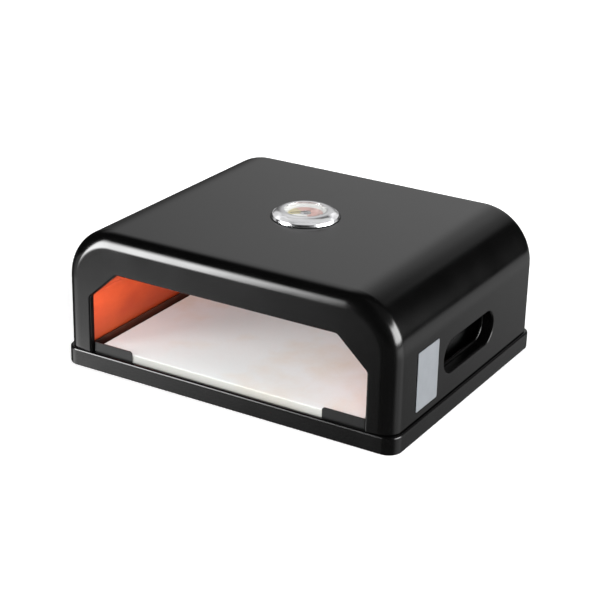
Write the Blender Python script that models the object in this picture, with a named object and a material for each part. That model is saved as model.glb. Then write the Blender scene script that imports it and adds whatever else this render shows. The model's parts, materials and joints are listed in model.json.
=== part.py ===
"""Barbecue pizza oven: a pressed steel hood and liner over a baking slab on a sunken tray.

Metres, +Z up. The origin is the middle of the tray's underside, and the mouth faces -Y.
Every size below is real. Places are worked out from the sizes of what carries each piece.
"""

import math

import bmesh
import bpy

# Clearances and sheet thicknesses
GAP = 0.0003
HOLE_CLEARANCE = 0.0003
CUT_OVERRUN = 0.004
WELD_DISTANCE = 0.000001
TRAY_SHEET = 0.0012
HOOD_SHEET = 0.0012
LINER_SHEET = 0.0008
RAIL_SHEET = 0.0012
COLLAR_SHEET = 0.0010

# Base tray
TRAY_WIDTH = 0.420
TRAY_DEPTH = 0.337
TRAY_HEIGHT = 0.0205
TRAY_CORNER_RADIUS = 0.016
TRAY_EDGE_RADIUS = 0.0024
FOOT_FLANGE_WIDTH = 0.005
FRONT_LEDGE_WIDTH = 0.0052
BACK_LEDGE_WIDTH = 0.022
LEDGE_INSIDE_LINER = 0.0012
DECK_DROP = 0.0065
DECK_WIDTH = 0.024
HEAT_OPENING_CORNER_RADIUS = 0.020

# Hood
HOOD_SIDE_SETBACK = 0.0028
HOOD_FRONT_SETBACK = 0.0011
HOOD_HEIGHT = 0.1456
HOOD_JAMB_WIDTH = 0.0332
HOOD_ARCH_RADIUS = 0.062
HOOD_EDGE_RADIUS = 0.018
HOOD_FLANGE_WIDTH = 0.012

# Mouth in the hood's front, between its two jambs
MOUTH_HEIGHT = 0.0994
MOUTH_CHAMFER_WIDTH = 0.0364
MOUTH_CHAMFER_HEIGHT = 0.0333
MOUTH_CORNER_RADIUS = 0.005
MOUTH_LIP_DEPTH = 0.007

# Liner
LINER_LIP_OVERLAP = 0.0037
LINER_FLANGE_SPACING = 0.005
LINER_BACK_STANDOFF = 0.001
LINER_BACK_RIM = 0.012

# Rails and baking slab
RAIL_HEIGHT = 0.0177
RAIL_LEG_WIDTH = 0.014
RAIL_BEND_RADIUS = 0.003
RAIL_BACK_CLEARANCE = 0.006
TAB_LENGTH = 0.053
TAB_CORNER_RADIUS = 0.0035
STONE_THICKNESS = 0.012
STONE_SIDE_CLEARANCE = 0.0063
STONE_BACK_CLEARANCE = 0.003
STONE_FRONT_CLEARANCE = 0.0005
STONE_CORNER_RADIUS = 0.008
STONE_EDGE_BEVEL = 0.0012

# Grip slots in the hood's sides, their middle at a share of the height of the flat wall below the arch
SLOT_LENGTH = 0.1214
SLOT_HEIGHT = 0.0389
SLOT_CENTRE_SHARE = 0.5335
SLOT_SHIFT_BACK = 0.0022
COLLAR_DEPTH = 0.0145
COLLAR_RIM_WIDTH = 0.006

# Bare plate on the right side
PLATE_WIDTH = 0.0465
PLATE_HEIGHT = 0.067
PLATE_THICKNESS = 0.0005
PLATE_CENTRE_HEIGHT = 0.0442
PLATE_FROM_FRONT = 0.0699
PLATE_CORNER_RADIUS = 0.0012

# Thermometer
SEAL_RADIUS = 0.0402
SEAL_THICKNESS = 0.0015
BEZEL_RADIUS = 0.037
BEZEL_FLANGE_WIDTH = 0.0013
BEZEL_FLANGE_HEIGHT = 0.0013
BEZEL_WINDOW_RADIUS = 0.0216
BEZEL_SHEET = 0.0010
LENS_LAP = 0.003
LENS_THICKNESS = 0.0016
CASE_WALL = 0.0008
CASE_HEIGHT = 0.0056
CASE_TO_BEZEL = 0.0008
DIAL_THICKNESS = 0.0005
DIAL_EDGE_CLEARANCE = 0.0005
DIAL_HOLE_RADIUS = 0.0013
POINTER_LENGTH = 0.0175
POINTER_TAIL = 0.006
POINTER_WIDTH = 0.0022
POINTER_TIP_WIDTH = 0.0006
POINTER_HUB_RADIUS = 0.0026
POINTER_THICKNESS = 0.0005
POINTER_ABOVE_DIAL = 0.0005
SPINDLE_RADIUS = 0.0008
SPINDLE_ABOVE_POINTER = 0.0005
STEM_RADIUS = 0.003
STEM_BORE_RADIUS = 0.0022
STEM_FLANGE_RADIUS = 0.006
STEM_FLANGE_THICKNESS = 0.0006
STEM_REACH_BELOW_ROOF = 0.026
STEM_TIP_THICKNESS = 0.003
STEM_TIP_BEVEL = 0.0012
NECK_RADIUS = 0.004
NECK_BELOW_NUT = 0.0025
WASHER_RADIUS = 0.009
WASHER_THICKNESS = 0.001
NUT_ACROSS_FLATS = 0.013
NUT_THICKNESS = 0.0047
NUT_SIDES = 6
COIL_RADIUS = 0.0015
COIL_WIRE_RADIUS = 0.0003
COIL_PITCH = 0.0016
COIL_ABOVE_BORE_END = 0.001

# Fasteners
SCREW_RADIUS = 0.0019
SCREW_HEAD_RADIUS = 0.0036
SCREW_HEAD_HEIGHT = 0.0021
SCREW_PAST_SHEET = 0.002
RIVET_RADIUS = 0.0016
RIVET_HEAD_RADIUS = 0.0032
RIVET_HEAD_HEIGHT = 0.0012

# Places of the fasteners, as shares of half the hood's depth or width
HOOD_SIDE_SCREW_SHARES = (-0.68, 0.62)
HOOD_BACK_SCREW_SHARES = (-0.55, 0.55)
LINER_SCREW_SHARES = (-0.60, 0.48)
RAIL_SCREW_SHARES = (-0.72, 0.60)
BACK_RIVET_ROOF_SHARES = (-0.5, 0.5)
BACK_RIVET_WALL_SHARE = 0.5

# Numbers of flats that round shapes are drawn with
CORNER_STEPS = 5
ARCH_STEPS = 12
EDGE_STEPS = 5
TURNED_SIDES = 40
SMALL_SIDES = 12
RIVET_SIDES = 8
SLOT_STEPS = 10
COIL_TURNS = 7
COIL_STEPS_PER_TURN = 8
COIL_WIRE_SIDES = 4
SMOOTH_ANGLE = math.radians(35)
POINTER_COLD_ANGLE = math.radians(225)

# Heights and half sizes that several pieces share
LEDGE_Z = TRAY_HEIGHT
DECK_Z = TRAY_HEIGHT - DECK_DROP
HOOD_BASE_Z = LEDGE_Z + GAP
HOOD_TOP_Z = HOOD_BASE_Z + HOOD_HEIGHT
HOOD_HALF_WIDTH = TRAY_WIDTH / 2 - HOOD_SIDE_SETBACK
HOOD_HALF_DEPTH = TRAY_DEPTH / 2 - HOOD_FRONT_SETBACK
MOUTH_HALF_WIDTH = HOOD_HALF_WIDTH - HOOD_JAMB_WIDTH
MOUTH_TOP_Z = HOOD_BASE_Z + MOUTH_HEIGHT
LINER_OFFSET = HOOD_SHEET + GAP
LINER_HALF_WIDTH = MOUTH_HALF_WIDTH + LINER_OFFSET
LINER_ROOF_Z = MOUTH_TOP_Z + LINER_OFFSET
LINER_FRONT_Y = -HOOD_HALF_DEPTH + MOUTH_LIP_DEPTH - LINER_LIP_OVERLAP
RECESS_HALF_WIDTH = LINER_HALF_WIDTH - LEDGE_INSIDE_LINER
RECESS_FRONT_Y = -TRAY_DEPTH / 2 + FRONT_LEDGE_WIDTH
RECESS_BACK_Y = TRAY_DEPTH / 2 - BACK_LEDGE_WIDTH
RECESS_CORNER_RADIUS = RAIL_BEND_RADIUS + GAP
LINER_BACK_Y = RECESS_BACK_Y + LINER_BACK_STANDOFF
HOOD_FLANGE_INNER_X = HOOD_HALF_WIDTH - HOOD_FLANGE_WIDTH
LINER_FLANGE_TIP_X = HOOD_FLANGE_INNER_X - LINER_FLANGE_SPACING
RAIL_OUTER_X = RECESS_HALF_WIDTH - GAP
RAIL_INNER_X = RAIL_OUTER_X - RAIL_SHEET
RAIL_BASE_Z = DECK_Z + GAP
RAIL_TOP_Z = RAIL_BASE_Z + RAIL_HEIGHT
RAIL_FRONT_Y = RECESS_FRONT_Y + GAP
RAIL_BACK_Y = RECESS_BACK_Y - RAIL_BACK_CLEARANCE
STONE_BASE_Z = RAIL_BASE_Z + RAIL_SHEET + GAP
STONE_HALF_WIDTH = RAIL_INNER_X - STONE_SIDE_CLEARANCE
STONE_FRONT_Y = RAIL_FRONT_Y + RAIL_SHEET + STONE_FRONT_CLEARANCE
STONE_BACK_Y = RECESS_BACK_Y - STONE_BACK_CLEARANCE
SLOT_Z = LEDGE_Z + SLOT_CENTRE_SHARE * (HOOD_HEIGHT - HOOD_ARCH_RADIUS)
SLOT_RADIUS = SLOT_HEIGHT / 2
SLOT_HALF_STRAIGHT = SLOT_LENGTH / 2 - SLOT_RADIUS
HOOD_SCREW_X = HOOD_HALF_WIDTH - HOOD_FLANGE_WIDTH / 2
HOOD_SCREW_BACK_Y = HOOD_HALF_DEPTH - HOOD_FLANGE_WIDTH / 2
LINER_SCREW_X = (LINER_HALF_WIDTH + LINER_SHEET + LINER_FLANGE_TIP_X) / 2
RAIL_SCREW_X = RAIL_INNER_X - RAIL_LEG_WIDTH / 2

# Heights of the thermometer's pieces
SEAL_BASE_Z = HOOD_TOP_Z + GAP
CASE_BASE_Z = SEAL_BASE_Z + SEAL_THICKNESS + GAP
CASE_FLOOR_Z = CASE_BASE_Z + CASE_WALL
STEM_TOP_Z = CASE_FLOOR_Z + GAP + STEM_FLANGE_THICKNESS
DIAL_BASE_Z = STEM_TOP_Z + GAP
DIAL_TOP_Z = DIAL_BASE_Z + DIAL_THICKNESS
POINTER_BASE_Z = DIAL_TOP_Z + POINTER_ABOVE_DIAL
POINTER_TOP_Z = POINTER_BASE_Z + POINTER_THICKNESS
SPINDLE_TOP_Z = POINTER_TOP_Z + SPINDLE_ABOVE_POINTER
CASE_TOP_Z = CASE_BASE_Z + CASE_HEIGHT
LENS_BASE_Z = CASE_TOP_Z + GAP
LENS_TOP_Z = LENS_BASE_Z + LENS_THICKNESS
LENS_RADIUS = BEZEL_WINDOW_RADIUS + LENS_LAP
BEZEL_TOP_Z = LENS_TOP_Z + GAP + BEZEL_SHEET
BEZEL_FOOT_RADIUS = BEZEL_RADIUS - BEZEL_FLANGE_WIDTH
BEZEL_FOOT_Z = CASE_BASE_Z + BEZEL_FLANGE_HEIGHT
WASHER_TOP_Z = HOOD_TOP_Z - HOOD_SHEET - GAP
NUT_TOP_Z = WASHER_TOP_Z - WASHER_THICKNESS - GAP
NECK_BASE_Z = NUT_TOP_Z - NUT_THICKNESS - NECK_BELOW_NUT
STEM_TIP_Z = LINER_ROOF_Z - STEM_REACH_BELOW_ROOF
BORE_END_Z = STEM_TIP_Z + STEM_TIP_THICKNESS


def clear_scene():
    """Removes whatever the file opened with."""
    for item in list(bpy.data.objects):
        bpy.data.objects.remove(item)


def make_material(name, colour, roughness, metallic, alpha=1.0):
    """A Principled material from a linear colour, a roughness and a metallic value."""
    made = bpy.data.materials.new(name)
    made.use_nodes = True
    shader = made.node_tree.nodes["Principled BSDF"]
    shader.inputs["Base Color"].default_value = (*colour, 1.0)
    shader.inputs["Roughness"].default_value = roughness
    shader.inputs["Metallic"].default_value = metallic
    shader.inputs["Alpha"].default_value = alpha
    made.diffuse_color = (*colour, alpha)
    return made


def loft(rings, closed):
    """Points and faces of a surface through rings of equally many points.

    A closed loft joins its last ring to its first. An open one gets a flat cap at each end.
    """
    count = len(rings[0])
    points = [point for ring in rings for point in ring]
    faces = []
    steps = len(rings) if closed else len(rings) - 1
    for row in range(steps):
        low = row * count
        high = (row + 1) % len(rings) * count
        for column in range(count):
            following = (column + 1) % count
            faces.append((low + column, low + following, high + following, high + column))
    if not closed:
        faces.append(tuple(range(count)))
        faces.append(tuple(range(len(points) - count, len(points))))
    return points, faces


def joined(bodies):
    """Several bodies' points and faces as one list of each."""
    points = []
    faces = []
    for body_points, body_faces in bodies:
        start = len(points)
        points.extend(body_points)
        faces.extend(tuple(start + index for index in face) for face in body_faces)
    return points, faces


def make_object(name, body, material, place=(0, 0, 0)):
    """A named object from points and faces, its faces turned outwards and shaded smooth."""
    mesh = bpy.data.meshes.new(name)
    mesh.from_pydata(body[0], [], body[1])
    work = bmesh.new()
    work.from_mesh(mesh)
    bmesh.ops.remove_doubles(work, verts=work.verts, dist=WELD_DISTANCE)
    bmesh.ops.recalc_face_normals(work, faces=work.faces)
    work.to_mesh(mesh)
    work.free()
    mesh.shade_smooth()
    mesh.set_sharp_from_angle(angle=SMOOTH_ANGLE)
    made = bpy.data.objects.new(name, mesh)
    made.location = place
    bpy.context.scene.collection.objects.link(made)
    if material:
        mesh.materials.append(material)
    return made


def apply_tool(target, name, body, operation="DIFFERENCE"):
    """Adds a Boolean of a hidden helper shape to the target."""
    helper = make_object(name, body, None)
    helper.hide_render = True
    helper.display_type = "WIRE"
    modifier = target.modifiers.new(name, "BOOLEAN")
    modifier.object = helper
    modifier.operation = operation
    modifier.solver = "EXACT"


def prism(outline, start, end, to_point):
    """A body that runs from start to end. to_point turns (a, b, depth) into a point."""
    rings = [[to_point(a, b, depth) for a, b in outline] for depth in (start, end)]
    return loft(rings, closed=False)


def along_x(a, b, depth):
    return (depth, a, b)


def along_y(a, b, depth):
    return (a, depth, b)


def along_z(a, b, depth):
    return (a, b, depth)


def box(low, high):
    """A box between two corners."""
    outline = [(low[0], low[1]), (high[0], low[1]), (high[0], high[1]), (low[0], high[1])]
    return prism(outline, low[2], high[2], along_z)


def circle(radius, sides, centre=(0, 0)):
    """Points of a circle in a plane."""
    turns = (2 * math.pi * step / sides for step in range(sides))
    return [(centre[0] + radius * math.cos(turn), centre[1] + radius * math.sin(turn)) for turn in turns]


def turned(profile, sides, closed):
    """A body of revolution about the Z axis through points (radius, height)."""
    rings = [[(x, y, height) for x, y in circle(radius, sides)] for radius, height in profile]
    return loft(rings, closed)


def rounded_rectangle(half_width, front, back, radius, height):
    """Points of a rounded rectangle about x = 0, from y = front to y = back, at a height."""
    points = []
    centres = (
        (half_width - radius, back - radius, 0),
        (radius - half_width, back - radius, 1),
        (radius - half_width, front + radius, 2),
        (half_width - radius, front + radius, 3),
    )
    for x, y, quarter in centres:
        for step in range(CORNER_STEPS + 1):
            turn = math.pi / 2 * (quarter + step / CORNER_STEPS)
            points.append((x + radius * math.cos(turn), y + radius * math.sin(turn), height))
    return points


def offset_path(path, distance):
    """A path moved to the right of its own direction, with mitred corners."""
    moved = []
    for index, (x, y) in enumerate(path):
        normals = []
        for start, end in ((index - 1, index), (index, index + 1)):
            if start < 0 or end >= len(path):
                continue
            run_x = path[end][0] - path[start][0]
            run_y = path[end][1] - path[start][1]
            length = math.hypot(run_x, run_y)
            normals.append((run_y / length, -run_x / length))
        sum_x = sum(normal[0] for normal in normals)
        sum_y = sum(normal[1] for normal in normals)
        stretch = distance / (sum_x * normals[0][0] + sum_y * normals[0][1])
        moved.append((x + sum_x * stretch, y + sum_y * stretch))
    return moved


def rounded_path(path, radius):
    """A path with its inner corners turned into arcs of one radius."""
    points = [path[0]]
    for before, corner, after in zip(path, path[1:], path[2:]):
        to_before = math.atan2(before[1] - corner[1], before[0] - corner[0])
        to_after = math.atan2(after[1] - corner[1], after[0] - corner[0])
        between = (to_after - to_before + math.pi) % (2 * math.pi) - math.pi
        reach = radius / math.sin(abs(between) / 2)
        middle = to_before + between / 2
        centre = (corner[0] + reach * math.cos(middle), corner[1] + reach * math.sin(middle))
        sweep = math.copysign(math.pi - abs(between), -between)
        for step in range(CORNER_STEPS + 1):
            turn = middle + math.pi + sweep * (step / CORNER_STEPS - 1 / 2)
            points.append((centre[0] + radius * math.cos(turn), centre[1] + radius * math.sin(turn)))
    points.append(path[-1])
    return points


def sheet_section(path, thickness):
    """The closed outline of a sheet that follows a path and lies to the right of it."""
    return path + offset_path(path, thickness)[::-1]


def arch(inset, base):
    """The hood's outline in x and z, drawn in from its outer skin by an inset."""
    half = HOOD_HALF_WIDTH - inset
    radius = HOOD_ARCH_RADIUS - inset
    centre_x = half - radius
    centre_z = HOOD_TOP_Z - HOOD_ARCH_RADIUS
    points = [(half, base)]
    for side in (1, -1):
        for step in range(ARCH_STEPS + 1):
            turn = math.pi / 2 * (step / ARCH_STEPS if side > 0 else 1 - step / ARCH_STEPS)
            x = side * (centre_x + radius * math.cos(turn))
            points.append((x, centre_z + radius * math.sin(turn)))
    points.append((-half, base))
    return points


def hood_block(inset, base):
    """The hood's outer form as a solid, drawn in by an inset, with its rounded front and back."""
    radius = HOOD_EDGE_RADIUS - inset
    depth = HOOD_HALF_DEPTH - inset
    rings = []
    for side in (-1, 1):
        for step in range(EDGE_STEPS + 1):
            turn = math.pi / 2 * (step / EDGE_STEPS if side < 0 else 1 - step / EDGE_STEPS)
            drawn_in = inset + radius * (1 - math.sin(turn))
            y = side * (depth - radius * (1 - math.cos(turn)))
            rings.append([(x, y, z) for x, z in arch(drawn_in, base)])
    return loft(rings, closed=False)


def mouth_path(offset, foot):
    """The mouth's outline from its right foot over the top to its left foot, moved outwards."""
    right = [
        (MOUTH_HALF_WIDTH, foot),
        (MOUTH_HALF_WIDTH, MOUTH_TOP_Z - MOUTH_CHAMFER_HEIGHT),
        (MOUTH_HALF_WIDTH - MOUTH_CHAMFER_WIDTH, MOUTH_TOP_Z),
    ]
    left = [(-x, z) for x, z in reversed(right)]
    return offset_path(right + left, offset)


def rounded_mouth(offset, foot):
    """The mouth's outline with its rounded corners."""
    return rounded_path(mouth_path(offset, foot), MOUTH_CORNER_RADIUS + offset)


def cylinders(places, radius, low, high, sides):
    """Upright cylinders of one size at several (x, y) places."""
    return joined([prism(circle(radius, sides, place), low, high, along_z) for place in places])


def row_of_places(x, shares):
    """Places in a row from front to back, as shares of half the hood's depth."""
    return [(x, share * HOOD_HALF_DEPTH) for share in shares]


def hood_screw_places():
    """Along the hood's two side flanges, then along its back flange."""
    left = row_of_places(-HOOD_SCREW_X, HOOD_SIDE_SCREW_SHARES)
    right = row_of_places(HOOD_SCREW_X, HOOD_SIDE_SCREW_SHARES)
    back = [(share * HOOD_HALF_WIDTH, HOOD_SCREW_BACK_Y) for share in HOOD_BACK_SCREW_SHARES]
    return left + right + back


def liner_screw_places():
    """Along the liner's two side flanges."""
    left = row_of_places(-LINER_SCREW_X, LINER_SCREW_SHARES)
    return left + row_of_places(LINER_SCREW_X, LINER_SCREW_SHARES)


def rail_screw_places():
    """Along the two rails' legs."""
    left = row_of_places(-RAIL_SCREW_X, RAIL_SCREW_SHARES)
    return left + row_of_places(RAIL_SCREW_X, RAIL_SCREW_SHARES)


def centre_hole(shaft_radius, low, high):
    """A clearance hole on the thermometer's axis for a round shaft, through a wall from low to high."""
    radius = shaft_radius + HOLE_CLEARANCE
    return cylinders([(0, 0)], radius, low - CUT_OVERRUN, high + CUT_OVERRUN, 2 * SMALL_SIDES)


def screw_holes(places, low, high):
    """Clearance holes for screws, as one cutting body."""
    radius = SCREW_RADIUS + HOLE_CLEARANCE
    return cylinders(places, radius, low - CUT_OVERRUN, high + CUT_OVERRUN, SMALL_SIDES)


def tray_ring(insets, radius, height):
    """A ring of the tray, drawn in from its outer skirt at the sides, the front and the back."""
    side, front, back = insets
    half = TRAY_WIDTH / 2 - side
    return rounded_rectangle(half, front - TRAY_DEPTH / 2, TRAY_DEPTH / 2 - back, radius, height)


def skirt_ring(inset, height):
    """A ring of the tray's skirt, drawn in evenly, its corners drawn in as well."""
    radius = max(TRAY_CORNER_RADIUS - inset, TRAY_SHEET)
    return tray_ring((inset, inset, inset), radius, height)


def build_base_tray(coat):
    """Skirt, rounded ledge, sunken deck round the heat opening, and a foot flange turned inwards."""
    sheet = TRAY_SHEET
    recess = (TRAY_WIDTH / 2 - RECESS_HALF_WIDTH, FRONT_LEDGE_WIDTH, BACK_LEDGE_WIDTH)
    opening = tuple(inset + DECK_WIDTH for inset in recess)
    behind_step = tuple(inset - sheet for inset in recess)
    under_edge = max(TRAY_EDGE_RADIUS, sheet)
    rings = [skirt_ring(0, 0)]
    for step in range(CORNER_STEPS + 1):
        turn = math.pi / 2 * step / CORNER_STEPS
        inset = TRAY_EDGE_RADIUS * (1 - math.cos(turn))
        rings.append(skirt_ring(inset, TRAY_HEIGHT - TRAY_EDGE_RADIUS * (1 - math.sin(turn))))
    rings += [
        tray_ring(recess, RECESS_CORNER_RADIUS, TRAY_HEIGHT),
        tray_ring(recess, RECESS_CORNER_RADIUS, DECK_Z),
        tray_ring(opening, HEAT_OPENING_CORNER_RADIUS, DECK_Z),
        tray_ring(opening, HEAT_OPENING_CORNER_RADIUS, DECK_Z - sheet),
        tray_ring(behind_step, RECESS_CORNER_RADIUS + sheet, DECK_Z - sheet),
        tray_ring(behind_step, RECESS_CORNER_RADIUS + sheet, TRAY_HEIGHT - sheet),
        skirt_ring(under_edge, TRAY_HEIGHT - sheet),
        skirt_ring(sheet, TRAY_HEIGHT - under_edge),
        skirt_ring(sheet, sheet),
        skirt_ring(FOOT_FLANGE_WIDTH, sheet),
        skirt_ring(FOOT_FLANGE_WIDTH, 0),
    ]
    tray = make_object("base_tray", loft(rings, closed=True), coat)
    ledge_places = hood_screw_places() + liner_screw_places()
    apply_tool(tray, "tray_ledge_holes", screw_holes(ledge_places, TRAY_HEIGHT - sheet, TRAY_HEIGHT))
    apply_tool(tray, "tray_deck_holes", screw_holes(rail_screw_places(), DECK_Z - sheet, DECK_Z))


def slot_outline(radius):
    """The grip slot's outline in y and z, with the given end radius."""
    points = []
    for side, start in ((1, -math.pi / 2), (-1, math.pi / 2)):
        for step in range(SLOT_STEPS + 1):
            turn = start + math.pi * step / SLOT_STEPS
            y = SLOT_SHIFT_BACK + side * SLOT_HALF_STRAIGHT + radius * math.cos(turn)
            points.append((y, SLOT_Z + radius * math.sin(turn)))
    return points


def build_outer_hood(coat):
    """Drawn shell: rounded block, hollowed, with a lipped mouth, two grip slots and a bottom flange."""
    hood = make_object("outer_hood", hood_block(0, HOOD_BASE_Z), coat)
    flange_top = HOOD_BASE_Z + HOOD_SHEET
    apply_tool(hood, "hood_hollow", hood_block(HOOD_SHEET, flange_top))
    inner = HOOD_FLANGE_WIDTH
    low = (inner - HOOD_HALF_WIDTH, HOOD_SHEET - HOOD_HALF_DEPTH, HOOD_BASE_Z - CUT_OVERRUN)
    high = (HOOD_HALF_WIDTH - inner, HOOD_HALF_DEPTH - inner, flange_top + CUT_OVERRUN)
    apply_tool(hood, "hood_underside", box(low, high))
    lip_start = -HOOD_HALF_DEPTH + HOOD_SHEET / 2
    lip_end = -HOOD_HALF_DEPTH + MOUTH_LIP_DEPTH
    lip = prism(rounded_mouth(HOOD_SHEET, HOOD_BASE_Z), lip_start, lip_end, along_y)
    apply_tool(hood, "hood_lip", lip, "UNION")
    mouth_start = -HOOD_HALF_DEPTH - CUT_OVERRUN
    mouth_end = lip_end + CUT_OVERRUN
    mouth = prism(rounded_mouth(0, HOOD_BASE_Z - CUT_OVERRUN), mouth_start, mouth_end, along_y)
    apply_tool(hood, "hood_mouth", mouth)
    reach = HOOD_HALF_WIDTH + CUT_OVERRUN
    apply_tool(hood, "hood_slots", prism(slot_outline(SLOT_RADIUS), -reach, reach, along_x))
    neck_hole = centre_hole(NECK_RADIUS, HOOD_TOP_Z - HOOD_SHEET, HOOD_TOP_Z)
    holes = joined([neck_hole, screw_holes(hood_screw_places(), HOOD_BASE_Z, flange_top)])
    apply_tool(hood, "hood_holes", holes)


def build_grip_collar(name, side, coat):
    """Long-holed collar behind a grip slot: a rim against the hood and a tube that runs inwards."""
    face_x = HOOD_HALF_WIDTH - HOOD_SHEET - GAP
    tube = SLOT_RADIUS + COLLAR_SHEET
    rim = SLOT_RADIUS + COLLAR_RIM_WIDTH
    profile = (
        (SLOT_RADIUS, 0),
        (rim, 0),
        (rim, COLLAR_SHEET),
        (tube, COLLAR_SHEET),
        (tube, COLLAR_DEPTH),
        (SLOT_RADIUS, COLLAR_DEPTH),
    )
    rings = [
        [(side * (face_x - inwards), y, z) for y, z in slot_outline(radius)] for radius, inwards in profile
    ]
    make_object(name, loft(rings, closed=True), coat)


def build_liner(steel):
    """Folded tunnel: side flanges on the tray's ledge, walls, slanting corners and a flat roof."""
    walls = mouth_path(LINER_OFFSET, HOOD_BASE_Z)
    tip = LINER_FLANGE_TIP_X
    path = [(tip, HOOD_BASE_Z)] + walls + [(-tip, HOOD_BASE_Z)]
    tunnel = prism(sheet_section(path, LINER_SHEET), LINER_FRONT_Y, LINER_BACK_Y, along_y)
    liner = make_object("inner_liner", tunnel, steel)
    stem_hole = centre_hole(STEM_RADIUS, LINER_ROOF_Z, LINER_ROOF_Z + LINER_SHEET)
    holes = screw_holes(liner_screw_places(), HOOD_BASE_Z, HOOD_BASE_Z + LINER_SHEET)
    apply_tool(liner, "liner_holes", joined([stem_hole, holes, back_rivet_holes()]))


def build_liner_back(steel):
    """Plate that closes the tunnel, with a rim that fits over the liner's back end."""
    foot = HOOD_BASE_Z + LINER_SHEET + GAP
    inside = LINER_OFFSET + LINER_SHEET + GAP
    rim_start = LINER_BACK_Y - LINER_BACK_RIM
    plate_start = LINER_BACK_Y + GAP
    lid = prism(mouth_path(inside + LINER_SHEET, foot), rim_start, plate_start + LINER_SHEET, along_y)
    back = make_object("liner_back", lid, steel)
    pocket_outline = mouth_path(inside, foot - CUT_OVERRUN)
    pocket = prism(pocket_outline, rim_start - CUT_OVERRUN, plate_start, along_y)
    apply_tool(back, "liner_back_pocket", pocket)
    apply_tool(back, "liner_back_holes", back_rivet_holes())


def back_rivet_places():
    """Each rivet's seat on the rim's outside, with the direction in which it points inwards."""
    y = LINER_BACK_Y - LINER_BACK_RIM / 2
    outside = LINER_OFFSET + 2 * LINER_SHEET + 2 * GAP
    half_roof = MOUTH_HALF_WIDTH - MOUTH_CHAMFER_WIDTH
    wall_z = HOOD_BASE_Z + BACK_RIVET_WALL_SHARE * (MOUTH_HEIGHT - MOUTH_CHAMFER_HEIGHT)
    roof_z = MOUTH_TOP_Z + outside
    wall_x = MOUTH_HALF_WIDTH + outside
    roof = [((share * half_roof, y, roof_z), "down") for share in BACK_RIVET_ROOF_SHARES]
    return roof + [((-wall_x, y, wall_z), "right"), ((wall_x, y, wall_z), "left")]


def rivet_point(place, direction, across, along, inwards):
    """A point of a rivet, inwards from its place and spread across it."""
    x, y, z = place
    if direction == "down":
        return (x + across, y + along, z - inwards)
    sign = 1 if direction == "right" else -1
    return (x + sign * inwards, y + along, z + across)


def rivet_rings(place, direction, profile):
    """Rings of a body of revolution about a rivet's own axis."""
    rings = []
    for radius, inwards in profile:
        flats = circle(radius, RIVET_SIDES)
        rings.append([rivet_point(place, direction, across, along, inwards) for across, along in flats])
    return rings


def back_rivet_holes():
    """Clearance holes for the rivets of the liner's back plate."""
    radius = RIVET_RADIUS + HOLE_CLEARANCE
    depth = 2 * LINER_SHEET + GAP + CUT_OVERRUN
    profile = ((radius, -CUT_OVERRUN), (radius, depth))
    holes = [rivet_rings(place, way, profile) for place, way in back_rivet_places()]
    return joined([loft(rings, closed=False) for rings in holes])


def build_back_rivets(steel):
    """Rivets with a low head outside and a flat tail inside the tunnel."""
    grip = 2 * LINER_SHEET + GAP
    profile = (
        (RIVET_HEAD_RADIUS / 2, -GAP - RIVET_HEAD_HEIGHT),
        (RIVET_HEAD_RADIUS, -GAP - RIVET_HEAD_HEIGHT / 2),
        (RIVET_HEAD_RADIUS, -GAP),
        (RIVET_RADIUS, -GAP),
        (RIVET_RADIUS, grip + GAP),
        (RIVET_HEAD_RADIUS, grip + GAP),
        (RIVET_HEAD_RADIUS, grip + GAP + RIVET_HEAD_HEIGHT / 2),
    )
    for number, (place, way) in enumerate(back_rivet_places(), start=1):
        body = loft(rivet_rings(place, way, profile), closed=False)
        make_object(f"back_rivet_{number}", body, steel)


def tab_corner_waste(side, tab_tip):
    """What is cut away outside the rounded upper corner of a rail's tab."""
    radius = TAB_CORNER_RADIUS
    centre_x = tab_tip + radius
    centre_z = RAIL_TOP_Z - radius
    past_x = tab_tip - CUT_OVERRUN
    past_z = RAIL_TOP_Z + CUT_OVERRUN
    outline = [(past_x, centre_z), (past_x, past_z), (centre_x, past_z)]
    for step in range(CORNER_STEPS + 1):
        turn = math.pi / 2 * (1 + step / CORNER_STEPS)
        outline.append((centre_x + radius * math.cos(turn), centre_z + radius * math.sin(turn)))
    start = RAIL_FRONT_Y - CUT_OVERRUN
    end = RAIL_FRONT_Y + RAIL_SHEET + CUT_OVERRUN
    return prism([(side * x, z) for x, z in outline], start, end, along_y)


def build_stone_rail(name, side, coat):
    """Strip beside the slab, bent round the front corner into a low tab, with a leg under the slab."""
    tab_tip = RAIL_OUTER_X - TAB_LENGTH
    plan = [(RAIL_OUTER_X, RAIL_BACK_Y), (RAIL_OUTER_X, RAIL_FRONT_Y), (tab_tip, RAIL_FRONT_Y)]
    section = sheet_section(rounded_path(plan, RAIL_BEND_RADIUS), RAIL_SHEET)
    strip = prism([(side * x, y) for x, y in section], RAIL_BASE_Z, RAIL_TOP_Z, along_z)
    rail = make_object(name, strip, coat)
    leg_low = RAIL_INNER_X - RAIL_LEG_WIDTH
    leg_high = RAIL_OUTER_X - RAIL_SHEET / 2
    leg_start = RAIL_FRONT_Y + RAIL_BEND_RADIUS
    leg_top = RAIL_BASE_Z + RAIL_SHEET
    leg = [(leg_low, RAIL_BASE_Z), (leg_high, RAIL_BASE_Z), (leg_high, leg_top), (leg_low, leg_top)]
    leg_body = prism([(side * x, z) for x, z in leg], leg_start, RAIL_BACK_Y, along_y)
    apply_tool(rail, name + "_leg", leg_body, "UNION")
    apply_tool(rail, name + "_tab_corner", tab_corner_waste(side, tab_tip))
    places = row_of_places(side * RAIL_SCREW_X, RAIL_SCREW_SHARES)
    apply_tool(rail, name + "_holes", screw_holes(places, RAIL_BASE_Z, leg_top))


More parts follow.
